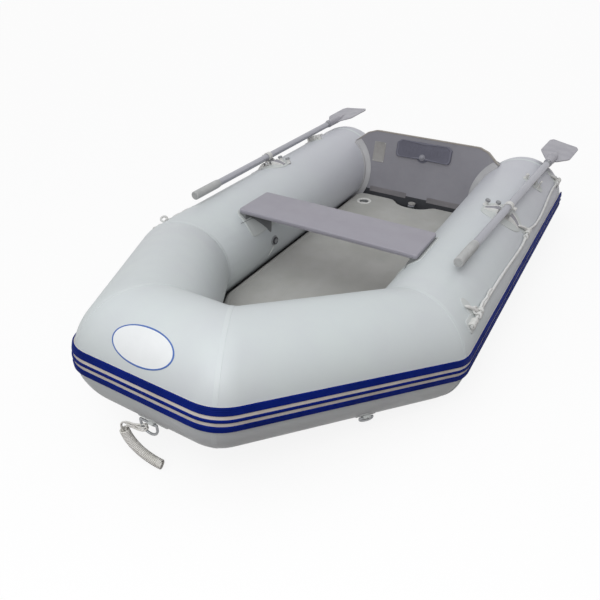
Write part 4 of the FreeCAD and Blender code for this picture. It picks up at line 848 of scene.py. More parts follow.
for hand in HANDS:
    def round_oar(s, a, b):
        return at_oar(hand, a, s, b)

    shaft = Build()
    body = [(-0.400, SHAFT_R)] + [(y, SHAFT_R) for y in np.arange(-0.36, 0.60, 0.04)] + [(0.640, SHAFT_R)]
    shaft.solid(spin(body, round_oar, 48))
    stop = [(0.565, SHAFT_R - 0.0005), (0.565, 0.0149), (0.577, 0.0149), (0.577, SHAFT_R - 0.0005)]
    shaft.rings(spin(rounded(stop, 0.0008), round_oar, 48), mat=1)
    button = rounded([(SHAFT_R - 0.001, 0.0045), (SHAFT_R + 0.0022, 0.0045), (SHAFT_R + 0.0022, 0.0003)], 0.002)
    shaft.rings(spin(button, lambda s, a, b: at_oar(hand, a, 0.588 + b, s), 20), mat=2, cap_last=True)
    shaft.end("shaft_" + hand, ["oar_metal", "grey_moulded", "steel"], body="oar_" + hand, slot="oar_tube",
              stands_for=["oar_shaft_" + hand])

    grip = Build()
    profile = [(-0.5300, 0.0004), (-0.5300, 0.0085), (-0.5285, 0.0090), (-0.5285, 0.0102), (-0.5300, 0.0108)]
    profile += [(-0.530 + 0.0035 * (1 - math.cos(t)), 0.0132 + 0.0037 * math.sin(t))
                for t in np.linspace(0.2, math.pi / 2, 6)]
    for y in (-0.516 + k * 0.005 for k in range(22)):
        profile += [(y, GRIP_R), (y + 0.0032, GRIP_R), (y + 0.0036, 0.0164), (y + 0.0046, 0.0164)]
    profile += [(-0.4045, GRIP_R), (-0.396, GRIP_R), (-0.386, 0.0164), (-0.3765, 0.0153), (-0.3752, 0.0147),
                (-0.3750, 0.0139)]
    grip.rings(spin(profile, round_oar, 48), cap_first=True)
    grip.end("grip_" + hand, "grip_rubber", body="oar_" + hand, slot="oar_plastic",
             stands_for=["oar_grip_" + hand], sharp=35.0)

    def blade_world(a, b, height):
        return at_oar(hand, a, b, height + 0.0012 * (a / BLADE_HALF) ** 2)

    neck, tip, half = BLADE_NECK, OAR_TIP - 0.0003, BLADE_HALF
    one_side = [(0.010, neck + 0.010), (0.030, neck + 0.040), (half, neck + 0.118), (half + 0.0008, tip - 0.030),
                (half - 0.012, tip)]
    radii = [0.004, 0.06, 0.06, 0.016, 0.012]
    outline = rounded_outline(one_side + [(-a, b) for a, b in reversed(one_side)], radii + radii[::-1], 8)
    middle = np.array([0.0, neck + 0.16])
    blade = Build()
    blade.slab(outline, -0.0022, 0.0020, 0.0018, blade_world, 7, centre=middle)
    for face in (1, -1):
        blade.rings([[blade_world(*(p + (middle - p) * s / np.linalg.norm(middle - p)), h * face) for p in outline]
                     for s, h in ((0.0010, 0.0014), (0.0016, 0.0026), (0.0040, 0.0027), (0.0052, 0.0016))])
    spine = []
    for w in np.linspace(0, 1, 26):
        y = neck - 0.022 + 0.215 * w
        grow = smooth((w - 0.42) / 0.58)
        wide = 0.0170 + 0.0045 * math.sin(math.pi * min(1.0, w * 1.25)) - 0.0185 * grow
        high = 0.0170 * (1 - grow) + 0.0024 * grow
        lip = 0.0012 if w < 0.06 else 0.0
        spine.append([at_oar(hand, (max(wide, 0.0012) + lip) * math.copysign(abs(math.cos(t)) ** 0.9, math.cos(t)),
                             y, (high + lip) * math.sin(t)) for t in circle(40)])
    blade.solid(spine)
    blade.end("blade_" + hand, "oar_moulded", body="oar_" + hand, slot="oar_plastic",
              stands_for=["oar_blade_" + hand], sharp=35.0)

# ---------------------------------------------------------------- rowlocks
YOKE_HALF, EAR_THICK, TRUNNION_H, EAR_R = 0.019, 0.007, 0.012, 0.0112
FIN_START, FIN_END = 0.0232, 0.0735     # out from the rowlock's middle
EAR_EDGE = ((0.0, 0.0010), (0.0003, 0.0004), (0.0010, 0.0))
FIN_EDGE = ((0.0, 0.0009), (0.0004, 0.0003), (0.0010, 0.0))


def tube_drop(x):
    """Height of the tube's surface above the rowlock's foot, in its own frame."""
    return math.sqrt(TUBE_R ** 2 - x * x) - TUBE_R


def side_patch(build, hand, outline, centre_y, tilt, thick, inner, mat=0):
    """A patch glued on a side tube, `tilt` degrees outboard of its top; outline in metres out and along."""
    def world(a, b, height):
        angle = deg(90 - tilt) - math.asin(np.clip(a / TUBE_R, -0.999, 0.999))
        r = TUBE_R + GAP + height
        place = np.array([MITRE[0] + r * math.cos(angle), centre_y + b, MITRE[2] + r * math.sin(angle)])
        return place * HANDS[hand]

    edge = 0.0009
    levels = [(0.0045, thick), (edge, thick), (edge * 0.3, thick - edge * 0.4), (0.0, thick - edge), (0.0, -GAP)]
    build.plate(outline, levels, world, inner, mat=mat)


patches = Build()
for hand in HANDS:
    side_patch(patches, hand, oval(0.0835, 0.0775, 96, 2.15), ROW_FOOT[1], 20.0, 0.0019, 12)
patches.end("rowlock_mats", "patch_cloth", stands_for=["rowlock_patches"], slot="tube_fabric")

fins = Build()
tops = [(FIN_START + (FIN_END - FIN_START) * w, 0.0160 - 0.0255 * w ** 1.45) for w in np.linspace(0, 1, 26)]
fin_top = [(x, max(z, tube_drop(x) + 0.0036)) for x, z in tops]
wedge_top = [(x, max(z - 0.0018, tube_drop(x) + 0.0030)) for x, z in fin_top]
fin_foot = [(x, tube_drop(x) + 0.0022) for x, _ in reversed(fin_top)]
for hand in HANDS:
    for sign in (1, -1):
        def beside(x, y, z):
            """The fins come closer together further out."""
            return at_rowlock(hand, sign * x, y * (1.15 - 10.5 * (x - FIN_START)), z)

        for y0, y1 in ((-0.0200, -0.0150), (0.0150, 0.0200)):
            fins.solid([[beside(x, y, z - inset) for x, z in fin_top] + [beside(x, y, z) for x, z in fin_foot]
                        for y, inset in eased(y0, y1, FIN_EDGE)])
        # Painted shade: the wedge between each pair of fins is grey, standing for the gusset's shaded face between
        # the fins' white edges.
        fins.solid([[beside(x, y, z) for x, z in wedge_top + fin_foot]
                    for y in np.linspace(-0.0155, 0.0155, 5)], mat=2)
        fins.slab(rectangle(FIN_START, 0.0330, -0.0200, 0.0200, 0.003, 4), -0.0005, 0.0030, 0.001,
                  lambda a, b, h: at_rowlock(hand, sign * a, b, h + tube_drop(a) + 0.0026), 3)
    for x, y in ((-0.079, 0.0285), (-0.041, 0.0290)):
        foot = tube_drop(x) + 0.0015
        stud = rounded([(foot, 0.0100), (foot + 0.006, 0.0084), (foot + 0.018, 0.0072), (foot + 0.0185, 0.0104),
                        (foot + 0.0265, 0.0096), (foot + 0.0275, 0.0004)], 0.0016)
        fins.rings(spin(stud, lambda z, a, b: at_rowlock(hand, x + a, y + b, z), 24),
                   mat_rows=[0 if i < len(stud) * 0.45 else 1 for i in range(len(stud))], cap_last=True)
fins.end("rowlock_gussets", ["gusset_white", "grey_moulded", "gusset_shaded"], stands_for=["rowlock_fins"],
         slot="rowlock_plastic", sharp=35.0)

for hand in HANDS:
    base = Build()
    inner, outer = YOKE_HALF + GAP, YOKE_HALF + GAP + EAR_THICK
    base.slab(box(0.0229, outer, 0.004, 5), -0.0004, 0.0024, 0.0010,
              lambda a, b, h: at_rowlock(hand, a, b, h if h > 0.001 else h + tube_drop(a) + 0.0022), 5)
    ear = [(-EAR_R, 0.001)] + [(EAR_R * math.cos(t), TRUNNION_H + EAR_R * math.sin(t))
                               for t in np.linspace(math.pi, 0, 22)] + [(EAR_R, 0.001)]
    for y0, y1 in ((inner, outer), (-outer, -inner)):
        shrunk = [(y, 1 - inset / EAR_R) for y, inset in eased(y0, y1, EAR_EDGE)]
        base.solid([[at_rowlock(hand, x * share, y, 0.001 + (z - 0.001) * share) for x, z in ear]
                    for y, share in shrunk])
    base.end("rowlock_bracket_" + hand, "pale_moulded", stands_for=["rowlock_base_" + hand],
             slot="rowlock_plastic", sharp=35.0)

    collar = Build()
    rise = [(0.0120, 0.0142), (0.0120, 0.0172), (0.0108, 0.0184), (0.0040, 0.0184), (0.0034, 0.0179)]
    rise = [(-y, r) for y, r in rise] + rise[::-1]
    collar.rings(spin(rise, lambda s, a, b: at_oar(hand, a, s, b), 48))
    stem = [(0.0045, 0.0047), (OAR_H - 0.0165, 0.0047)]
    collar.solid(spin(stem, lambda z, a, b: at_rowlock(hand, a, b, z), 24))
    knob = rounded([(0.0165, 0.0062), (0.0225, 0.0056), (0.0230, 0.0082), (0.0300, 0.0078),
                    (0.0310, 0.0004)], 0.0016)
    collar.rings(spin(knob, lambda s, a, b: at_rowlock(hand, s, -0.001 + a, OAR_H + 0.004 + b), 24), cap_last=True)
    collar.end("collar_" + hand, "pale_moulded", body="collar_" + hand, stands_for=["oar_collar_" + hand],
               slot="rowlock_plastic", sharp=35.0)

# ---------------------------------------------------------------- oar clips
CLIP_Y = 0.412          # aft of the rowlock
CLIP_TOP = OAR_H - SHAFT_R - 0.0018
clips = Build()
for hand in HANDS:
    aside = CLIP_Y * math.tan(deg(YAW[hand]))
    tilt = math.degrees(math.asin((ROW_OUT[0] * aside + ROW_UP[0] * TUBE_R) / TUBE_R)) + 2
    side_patch(clips, hand, oval(0.0515, 0.0335, 72, 2.2), ROW_FOOT[1] + CLIP_Y, tilt, 0.0020, 9, mat=1)

    def saddle_world(a, b, height):
        if height > 0.004:
            cup = 0.0006 + (0.0006 if abs(a) < 0.012 else 0.0)
            height = CLIP_TOP - cup - (0.014 - height)
        else:
            height += tube_drop(aside + a) + 0.001
        return at_rowlock(hand, aside + a, CLIP_Y + b, height)

    clips.slab(box(0.0150, 0.0148, 0.005, 5), 0.0, 0.014, 0.002, saddle_world, 4)
    for x, half_a, half_b, power in ((aside + SHAFT_R + 0.0175, 0.0045, 0.0108, 4.0),
                                     (aside - SHAFT_R - 0.0190, 0.0078, 0.0078, 2.0)):
        foot = tube_drop(x)
        horn = [(foot + 0.0015, 1.25), (foot + 0.005, 1.0)] + [(CLIP_TOP - s, grow) for s, grow in (
            (0.008, 0.86), (0.0075, 1.0), (0.002, 0.98), (0.0005, 0.85), (0.0, 0.5), (0.0, 0.03))]
        outline = oval(half_a, half_b, 36, power)
        clips.rings([[at_rowlock(hand, x + a * grow, CLIP_Y + b * grow, z) for a, b in outline]
                     for z, grow in horn], cap_last=True)
clips.end("oar_rests", ["pale_moulded", "patch_cloth"], stands_for=["oar_clips"], slot="holder_plastic",
          sharp=35.0)

# ---------------------------------------------------------------- rope holders and the rope's knots
LINE_ANGLE = 33.0       # where the grab lines run, above the level of the tubes' middle
ARCH_EDGE = ((0.0, 0.0012), (0.0004, 0.0005), (0.0014, 0.0), (0.0106, 0.0), (0.0116, 0.0010))
ARCH_HALF = 0.0108


def round_side(aft, angle, sign):
    """Places on a side tube near one spot: round it, aft of it, off it."""
    return lambda a, b, height: on_side(aft + b, angle + math.degrees(a / TUBE_R), GAP + height, sign)


def off_side(place, sign):
    """The way straight out of a side tube at a place."""
    return unit(place - np.array([sign * MITRE[0], place[1], MITRE[2]]))


arch = [(-ARCH_HALF, 0.0010)]
arch += [(0.0106 * math.cos(t), 0.0078 + 0.0102 * math.sin(t)) for t in np.linspace(math.pi, 0, 15)]
arch += [(ARCH_HALF, 0.0010)]
outside = len(arch)     # its points up to here are outside, the rest inside
arch += [(0.0062, 0.0010)]
arch += [(0.0059 * math.cos(t), 0.0086 + 0.0059 * math.sin(t)) for t in np.linspace(0, math.pi, 11)]
arch += [(-0.0062, 0.0010)]
holders = Build()
for side in HANDS.values():
    sign = side[0]
    for station in (0.050, 0.755, 1.360):
        levels = [(0.0040, 0.0020), (0.0009, 0.0020), (0.0003, 0.0016), (0.0, 0.0011), (0.0, -GAP)]
        holders.plate(box(0.0232, 0.0285, 0.012, 8), levels, round_side(station, LINE_ANGLE, sign), 7, mat=1)
        rings = []
        for s, inset in eased(-0.0196, 0.0196, ARCH_EDGE):
            rings.append([])
            for i, (a, h) in enumerate(arch):
                narrow = 1 - (inset / ARCH_HALF if i < outside else 0)
                lower = inset if 1 <= i < outside else 0.0
                angle = LINE_ANGLE + math.degrees(a * narrow / TUBE_R)
                rings[-1].append(on_side(station + s, angle, h - lower, sign))
        holders.solid(rings)
TAIL_GIRTH = [0.0016, 0.0040, 0.0048] + [0.0052] * 7 + [0.0056, 0.0060, 0.0054, 0.0022]
for side in HANDS.values():
    sign = side[0]
    for aft0, angle0, aft1, angle1 in ((0.066, 50.0, 0.106, 36.5), (0.712, 48.5, 0.762, 34.0),
                                       (1.318, 47.0, 1.352, 35.0)):
        path = [on_side(aft0 + (aft1 - aft0) * w, angle0 + (angle1 - angle0) * w,
                        0.0052 + 0.0035 * math.sin(math.pi * w), sign) for w in np.linspace(0, 1, 14)]
        holders.solid(rings_along(path, lambda i, u: TAIL_GIRTH[i], lambda p: off_side(p, sign), 20), mat=2)
        world = round_side((aft0 + aft1) / 2, (angle0 + angle1) / 2 + 3.0, sign)
        levels = [(0.0030, 0.0014), (0.0010, 0.0014), (0.0003, 0.0010), (0.0, -GAP)]
        holders.plate(oval(0.0165, 0.0330, 40, 2.4), levels, lambda a, b, h: world(b, a, h), 5, mat=1)
holders.end("rope_tunnels", ["pale_moulded", "patch_cloth", "gusset_white"], stands_for=["rope_holders"],
            slot="holder_plastic")


def loop_rings(centre, side_a, side_b, half_a, half_b, radius, twist=0.0):
    """A closed loop of rope."""
    rings, normal = [], np.cross(unit(side_a), unit(side_b))
    for t in circle(48):
        middle = centre + side_a * half_a * math.cos(t) + side_b * half_b * math.sin(t)
        middle = middle + normal * twist * math.sin(2 * t)
        out = unit(side_a * math.cos(t) + side_b * math.sin(t))
        rings.append([middle + radius * (1 + 0.08 * math.sin(5 * u + 9 * t))
                      * (out * math.cos(u) + normal * math.sin(u)) for u in circle(12)])
    return rings


# Each knot: aft, angle, lift, half sizes, and how far its loops lean.
KNOTS = ((0.0960, 33.4, 0.0105, 0.0095, 0.0115, 25), (0.1230, 33.6, 0.0085, 0.0105, 0.0095, -20),
         (0.7100, 32.2, 0.0100, 0.0090, 0.0100, 30), (1.3180, 33.4, 0.0095, 0.0085, 0.0095, 20))
for side_name, (line_piece, line) in grab_lines.items():
    sign = HANDS[side_name][0]
    knots = Build()
    for aft, angle, lift, half_a, half_b, lean in KNOTS:
        centre = on_side(aft, angle, lift, sign)
        out = off_side(centre, sign)
        across = unit(np.cross(Y, out))
        for shift, share in ((-0.003, -0.6), (0.0032, 1)):
            tip = unit(across + Y * math.tan(deg(lean)) * share)
            knots.rings(loop_rings(centre + Y * shift, tip, out, half_a * 0.86, half_b * 0.62, 0.0036), loop=True)
    eye = on_side(0.1010, 38.2, 0.0056, sign)
    across = unit(np.cross(Y, off_side(eye, sign)))
    knots.rings(loop_rings(eye, Y, across, 0.0135, 0.0105, 0.0034, twist=0.001), loop=True)
    if side_name == "left":
        stand = on_side(0.085, 40.0, 0.0165, sign)
        knots.rings(loop_rings(stand, Y, off_side(stand, sign), 0.0150, 0.0125, 0.0042, twist=0.002), loop=True)
    near = [p for p in line if 0.128 < p[1] - MITRE_Y < 0.262]
    path, girth = [], []
    for i in range(0, len(near), max(1, len(near) // 40)):
        p, w = near[i], i / len(near)
        out = off_side(p, sign)
        across = unit(np.cross(out, Y)) * sign
        across = across if across[2] > 0 else -across
        path.append(p + across * (0.0072 + 0.0012 * math.sin(9 * w)) + out * 0.0012 * math.sin(14 * w))
        girth.append(0.0046 * (1 - 0.25 * w ** 3) if w < 0.95 else 0.0022)
    knots.solid(rings_along(path, lambda i, u: girth[i] * (1 + 0.08 * math.sin(3 * u + 1.3 * i)), lambda p: Z, 18))
    knotted = knots.end("rope_knots_" + side_name, "rope_yarn", slot="rope", sharp=80.0)

# ---------------------------------------------------------------- transom
RAKE = deg(14.0)
BOARD = np.array([0.0, 0.769704, 0.180])
BOARD_AFT = np.array([0.0, math.cos(RAKE), -math.sin(RAKE)])
BOARD_UP = np.array([0.0, math.sin(RAKE), math.cos(RAKE)])
BOARD_THICK = 0.025


def on_board(x, z, aft):
    """A point on the raked board: across, at a height above the ground, behind its front face."""
    return BOARD + X * x + BOARD_AFT * aft + BOARD_UP * ((z - BOARD[2]) / math.cos(RAKE))


def facing_bow(x, z, height):
    return on_board(x, z, -GAP - height)


def facing_aft(x, z, height):
    return on_board(x, z, BOARD_THICK + GAP + height)


strips = Build()
for inner, outer in ((0.062, 0.248), (-0.248, -0.048)):
    outline = rectangle(inner, outer, 0.1025, 0.128, (0.002, 0.002, 0.007, 0.007), 5)
    strips.slab(outline, 0.0, 0.0023, 0.0008, facing_bow, 4)
    strips.plate(rectangle(inner + 0.004, outer - 0.004, 0.118, 0.1245, 0.002, 3),
                 [(0.0012, 0.0027), (0.0004, 0.0026), (0.0, 0.0022)], facing_bow, 2)
strips.end("foot_strips", "strip_cloth", stands_for=["transom_strips"], slot="bottom_fabric", sharp=35.0)

# Painted shade: a dark sheet across the board's foot, between the tubes and behind the strips, where the board
# lies in shade just above the deck.
foot = Build()
outline = rounded_outline([(-0.302, 0.060), (0.302, 0.060), (0.3035, 0.1135), (-0.3035, 0.1135)], 0.002, 3)
foot.plate(outline, [(0.001, 0.0), (0.0003, -0.0001), (0.0, -GAP)], facing_bow, 3)
foot.end("foot_shade_band", "dark_moulded", slot="bottom_fabric")

PAD_HALF, PAD_LOW, PAD_HIGH = 0.141, 0.296, 0.376
pad_corners = [(PAD_HALF - 0.009, PAD_LOW), (PAD_HALF, PAD_LOW + 0.012), (PAD_HALF, PAD_HIGH - 0.014),
               (PAD_HALF - 0.020, PAD_HIGH)]
pad_corners = [(-PAD_HALF + 0.009, PAD_LOW)] + pad_corners + [(-x, z) for x, z in pad_corners[:0:-1]]
pad_shape = rounded_outline(pad_corners, [0.005, 0.005, 0.004, 0.006, 0.008, 0.008, 0.006, 0.004], 6)
PAD_LEVELS = [(0.0130, 0.0062), (0.0118, 0.0062), (0.0110, 0.0066), (0.0102, 0.0073), (0.0092, 0.0077),
              (0.0040, 0.0078), (0.0024, 0.0074), (0.0012, 0.0064), (0.0004, 0.0048), (0.0, 0.0030), (0.0, 0.0)]
for name, world in (("motor_pad_inner", facing_bow), ("motor_pad_outer", facing_aft)):
    pad = Build()
    pad.plate(pad_shape, PAD_LEVELS, world, 10, centre=(0.0, 0.336), mat_rows=[0] * 12 + [1] * 3 + [0] * 5)
    for k in range(-6, 7):
        x, low = k * 0.0175, 0.3320 if abs(k) < 2 else 0.3165
        pad.plate(rectangle(x - 0.0016, x + 0.0016, low, 0.3580, 0.0014, 3),
                  [(0.0007, 0.0069), (0.0002, 0.0067), (0.0, 0.0062)], world, 2)
    pad.end(name + "_face", ["pad_moulded", "pad_rim"], stands_for=[name], slot="pad_plastic", sharp=35.0)

BOLT_Z = 0.308


def board_turned(x, z, profile):
    """A turned piece square to the board: (distance behind its front face, radius) pairs."""
    return spin(profile, lambda aft, a, b: on_board(x, z, aft) + X * a + BOARD_UP * b, 36)


bolt = Build()
head = -0.0119          # the bolt's head starts here, ahead of the board
bolt.solid(board_turned(0, BOLT_Z, rounded([
    (head - 0.0060, 0.0004), (head - 0.0058, 0.0060), (head - 0.0030, 0.0098), (head, 0.0100), (head, 0.0040),
    (0.0450, 0.0040), (0.0450, 0.0003)], 0.0012)))
for low, high, r, edge in ((head + 0.0003, head + 0.0033, 0.0150, 0.0007), (0.0336, 0.0411, 0.0090, 0.0010)):
    bolt.rings(board_turned(0, BOLT_Z, rounded([(low, 0.0042), (low, r), (high, r), (high, 0.0042)], edge)))
bolt.end("pad_fixing", "knob_grey", stands_for=["pad_bolt"], slot="bright_steel", sharp=35.0)

cup = Build()
half_ring = [np.array([0.031 * math.cos(t), BOLT_Z + 0.001 + 0.027 * math.sin(t)])
             for t in np.linspace(math.pi, 2 * math.pi, 25)]
cup.plate(densify(half_ring, 0.004), [(0.0016, 0.0012), (0.0005, 0.0010), (0.0, 0.0)], facing_bow, 4,
          centre=(0.0, BOLT_Z - 0.011))
cup.end("pad_hollow", "pad_moulded", slot="pad_plastic")

blank = Build()
blank.plate(rectangle(-0.262, -0.200, 0.250, 0.346, 0.004, 5),
            [(0.0030, 0.0008), (0.0026, 0.0010), (0.0006, 0.0010), (0.0002, 0.0007), (0.0, 0.0)], facing_bow, 4)
for x, z in ((-0.257, 0.255), (-0.205, 0.255), (-0.257, 0.341), (-0.205, 0.341)):
    screw = [(-0.0016, 0.0003), (-0.0015, 0.0014), (-0.0011, 0.0020), (-0.0006, 0.0022)]
    blank.rings(board_turned(x, z, screw), mat=1, cap_first=True)
blank.end("blank_plate_face", ["plate_grey", "steel"], stands_for=["blank_plate"], slot="plate_plastic",
          sharp=35.0)

# A channel's section beside a face of the board: how far off the tube, and how far from that face.
CHANNEL = [(0.0003, 0.0195), (0.0032, 0.0190), (0.0034, 0.0120), (0.0042, 0.0055), (0.0075, 0.0032),
           (0.0270, 0.0029), (0.0288, 0.0022), (0.0292, 0.0012), (0.0290, 0.0), (0.0003, 0.0)]
CHANNEL_TOP_Z, CHANNEL_LOW_Z, CHANNEL_TOP_X = 0.345, 0.028, 0.366
channels = Build()
for side in HANDS.values():
    for face, sign in ((-GAP, -1), (BOARD_THICK + GAP, 1)):
        rings = []
        for share in np.linspace(0.0, 1.0, 64):
            ring = []
            for off, aft in CHANNEL:
                r = TUBE_R + off
                reach = min(math.asin((CHANNEL_TOP_Z - STERN[2]) / r), math.acos((MITRE[0] - CHANNEL_TOP_X) / r))
                first = 180 - math.degrees(reach)
                last = 180 + math.degrees(math.asin((STERN[2] - CHANNEL_LOW_Z) / r))
                a = deg(first + (last - first) * share)
                x, z = MITRE[0] + r * math.cos(a), STERN[2] + r * math.sin(a)
                y = BOARD[1] + (z - BOARD[2]) * math.tan(RAKE) + (face + sign * aft) / math.cos(RAKE)
                ring.append(np.array([x, y, z]) * side)
            rings.append(ring)
        channels.solid(rings)
channels.end("board_channels", "channel_rubber", stands_for=["transom_channels"], slot="tube_fabric")

trim = Build()
trim_corners = [(0.262, 0.398), (0.308, 0.382), (0.366, 0.3345), (0.30, 0.20)]
path = rounded_outline([(-x, z) for x, z in trim_corners[2::-1]] + trim_corners + [(-0.30, 0.20)],
                       [0.001, 0.026, 0.040, 0.040, 0.026, 0.001, 0.001, 0.001], 8)
path = sorted((p for p in path if p[1] > 0.334), key=lambda p: p[0])
TRIM = ((0.0050, -0.0004), (0.0048, -0.0010), (0.0020, -0.0012), (0.0002, -0.0010), (-0.0008, 0.0010),
        (-0.0008, BOARD_THICK - 0.0010), (0.0002, BOARD_THICK + 0.0010), (0.0048, BOARD_THICK + 0.0010),
        (0.0050, BOARD_THICK + 0.0004))
rings = []
for i, p in enumerate(path):
    t = unit(path[min(i + 1, len(path) - 1)] - path[max(i - 1, 0)])
    rings.append([on_board(*(p + np.array([t[1], -t[0]]) * inset), aft) for inset, aft in TRIM])
trim.rings(rings, closed=False)
trim.end("board_edge_trim", "edge_trim", slot="painted_board", sharp=50.0)

# ---------------------------------------------------------------- air deck
DECK_TOP, DECK_THICK = 0.090, 0.050
DECK_REAR, DECK_HALF = 0.7437, 0.306
NOTCH_DEPTH = 0.0588
VALVE = np.array([-0.226, 0.637678])
WELL_R, WELL_POINTS = 0.0262, 40


def beside_shoulder(share):
    """Where the deck meets a shoulder tube, at a share of its length."""
    axis = MITRE + (BOW - MITRE) * share
    return axis - SHOULDER_OUT * (math.sqrt(TUBE_R ** 2 - (axis[2] - DECK_TOP) ** 2) + 0.012)


def deck_outline():
    """The deck's plan: one half from the middle of its stern to the middle of its bow, and its mirror image."""
    line = [(0.0, DECK_REAR - NOTCH_DEPTH)]
    line += [(0.089 * math.sin(t), DECK_REAR - NOTCH_DEPTH * math.cos(t)) for t in np.linspace(0.12, 1.25, 14)]
    line += [(x, DECK_REAR - y) for x, y in ((0.094, 0.0120), (0.102, 0.0050), (0.114, 0.0012), (0.128, 0.0))]
    line = [np.array(p) for p in line]
    near, far = beside_shoulder(0.0), beside_shoulder(0.40)
    turn_y = far[1] + (DECK_HALF - far[0]) * (near[1] - far[1]) / (near[0] - far[0])
    corners = [np.array(p) for p in ((0.128, DECK_REAR), (DECK_HALF, DECK_REAR), (DECK_HALF, turn_y),
                                     (far[0], far[1]), (0.0, far[1]))]
    for i, radius in ((1, 0.060), (2, 0.080), (3, 0.040)):
        corner, back, ahead = corners[i], unit(corners[i - 1] - corners[i]), unit(corners[i + 1] - corners[i])
        reach = radius / math.tan(math.acos(np.dot(back, ahead)) / 2)
        line += bend(corner + back * reach, corner, corner + ahead * reach, 12)
    line.append(corners[4])
    return line + [p * (-1, 1) for p in reversed(line[1:-1])]


outline = densify(deck_outline(), 0.012)
into = inward(outline)
deck = Build()
rings = []
for t in np.linspace(math.pi / 2, -math.pi / 2, 15):
    inset = 0.0145 * (1 - math.cos(t)) + 0.0004
    z = DECK_TOP - DECK_THICK / 2 + DECK_THICK / 2 * math.sin(t)
    lean_back = (DECK_TOP - z) * math.tan(RAKE)
    rings.append([(*(p + n * inset - (0.0, lean_back if p[1] > DECK_REAR - 0.09 else 0.0)), z)
                  for p, n in zip(outline, into)])
deck.rings(rings)
count, first_hole = len(outline), len(deck.points)


def upright(centre, profile, around=48):
    """A turned piece on a vertical axis: (height, radius) pairs."""
    return spin(profile, lambda z, a, b: (centre[0] + a, centre[1] + b, z), around)


deck.rings(upright(VALVE, ((DECK_TOP, WELL_R), (DECK_TOP - 0.010, WELL_R)), WELL_POINTS))
deck.fill(list(range(count)), [list(range(first_hole, first_hole + WELL_POINTS))])
deck.fill(list(range(first_hole - count, first_hole)))
deck.end("deck_panel", "deck_cloth", stands_for=["air_deck"], slot="deck_fabric", sharp=25.0)

seam = Build()
seam.rings([[(*(p + n * inset), DECK_TOP + rise) for p, n in zip(outline, into)]
            for inset, rise in ((0.0165, -0.0004), (0.0170, 0.0006), (0.0285, 0.0006), (0.0290, -0.0004))])
seam.end("deck_edge_tape", "deck_cloth", slot="deck_fabric", sharp=25.0)


def below_deck(pairs):
    return [(DECK_TOP + rise, r) for rise, r in pairs]


valve = Build()
flange = rounded(below_deck([(0.0003, 0.0369), (0.0014, 0.0368), (0.0025, 0.0345), (0.0025, 0.0262),
                             (0.0012, 0.0236), (-0.002, 0.0232)]), 0.0011)
valve.rings(upright(VALVE, flange))
bore = below_deck([(-0.002, 0.0232), (-0.012, 0.0230), (-0.030, 0.0228), (-0.0305, 0.0003)])
valve.rings(upright(VALVE, bore), mat=2, cap_last=True)
body = rounded(below_deck([(-0.0005, 0.0259), (-0.034, 0.0259), (-0.034, 0.0004)]), 0.002)
valve.rings(upright(VALVE, body), mat=1, cap_last=True)
for t in circle(10):
    spot = VALVE + 0.0312 * np.array([math.cos(t), math.sin(t)])
    screw = below_deck([(0.0022, 0.0022), (0.0031, 0.0019), (0.0033, 0.0003)])
    valve.rings(upright(spot, screw, 12), cap_last=True)
valve.end("deck_valve_body", ["pale_moulded", "dark_moulded", "flap_grey"], stands_for=["deck_valve"],
          slot="valve_plastic", sharp=35.0)

# ---------------------------------------------------------------- keel and its valve
KEEL_FRONT, KEEL_REAR, KEEL_LOW, KEEL_HIGH = -0.4052, 0.7215, 0.0076, 0.0394
KEEL_HALF, KEEL_LENGTH = 0.0740, 1.127
KEEL_NOSE = 0.045       # how far in from each end it rounds off
KEEL_VALVE = np.array([0.0, 0.717630])
keel = Build()
rings = []
for w in np.linspace(0, 1, 40):
    near_end = min(w, 1 - w) * KEEL_LENGTH
    grow = math.sqrt(max(0.0, 1 - max(0.0, 1 - near_end / KEEL_NOSE) ** 2)) * 0.999 + 0.001
    wide, high = KEEL_HALF - 0.012 * (1 - grow), (KEEL_HIGH - KEEL_LOW) / 2 * grow
    rings.append([(wide * math.copysign(abs(math.cos(t)) ** 0.55, math.cos(t)),
                   KEEL_FRONT + (KEEL_REAR - KEEL_FRONT) * w,
                   (KEEL_LOW + KEEL_HIGH) / 2 + high * math.copysign(abs(math.sin(t)) ** 0.8, math.sin(t)))
                  for t in circle(48)])
keel.solid(rings)
neck = [(0.030, 0.0165), (0.060, 0.0166), (0.0868, 0.0168), (0.0870, 0.0004)]
keel.rings(upright(KEEL_VALVE - (0.0, 0.004), neck, 36), cap_last=True)
keel.end("keel_bladder", "bottom_cloth", stands_for=["keel_tube"], slot="bottom_fabric", sharp=60.0)

tab = Build()
outline = rounded_outline([(-0.020, -0.021), (0.020, -0.021), (0.006, 0.0235), (-0.006, 0.0235)],
                          [0.012, 0.012, 0.008, 0.008], 8)
tab.slab(outline, 0.0873, 0.0900, 0.0012, lambda a, b, h: np.array([a, KEEL_VALVE[1] + b, h]), 4)
collar = [(0.0885, 0.0165), (0.0930, 0.0158), (0.0930, 0.0100), (0.0900, 0.0092), (0.0800, 0.0090)]
tab.rings(upright(KEEL_VALVE, rounded(collar, 0.0012)))
tab.end("keel_valve_body", "knob_grey", stands_for=["keel_valve"], slot="valve_plastic", sharp=35.0)

# ---------------------------------------------------------------- bottom
SKIN_THICK = 0.0016
SKIN_HALF = MITRE[0] - (TUBE_R + 0.00025) * math.cos(deg(60))     # it meets the side tubes 60 degrees below
SKIN_EDGE_Z = MITRE[2] - (TUBE_R + 0.00185) * math.sin(deg(60))
SKIN_LOW = 0.0010       # height of its middle
SKIN_ROUND = 0.04       # how round the V is along its middle, as a share of its half width


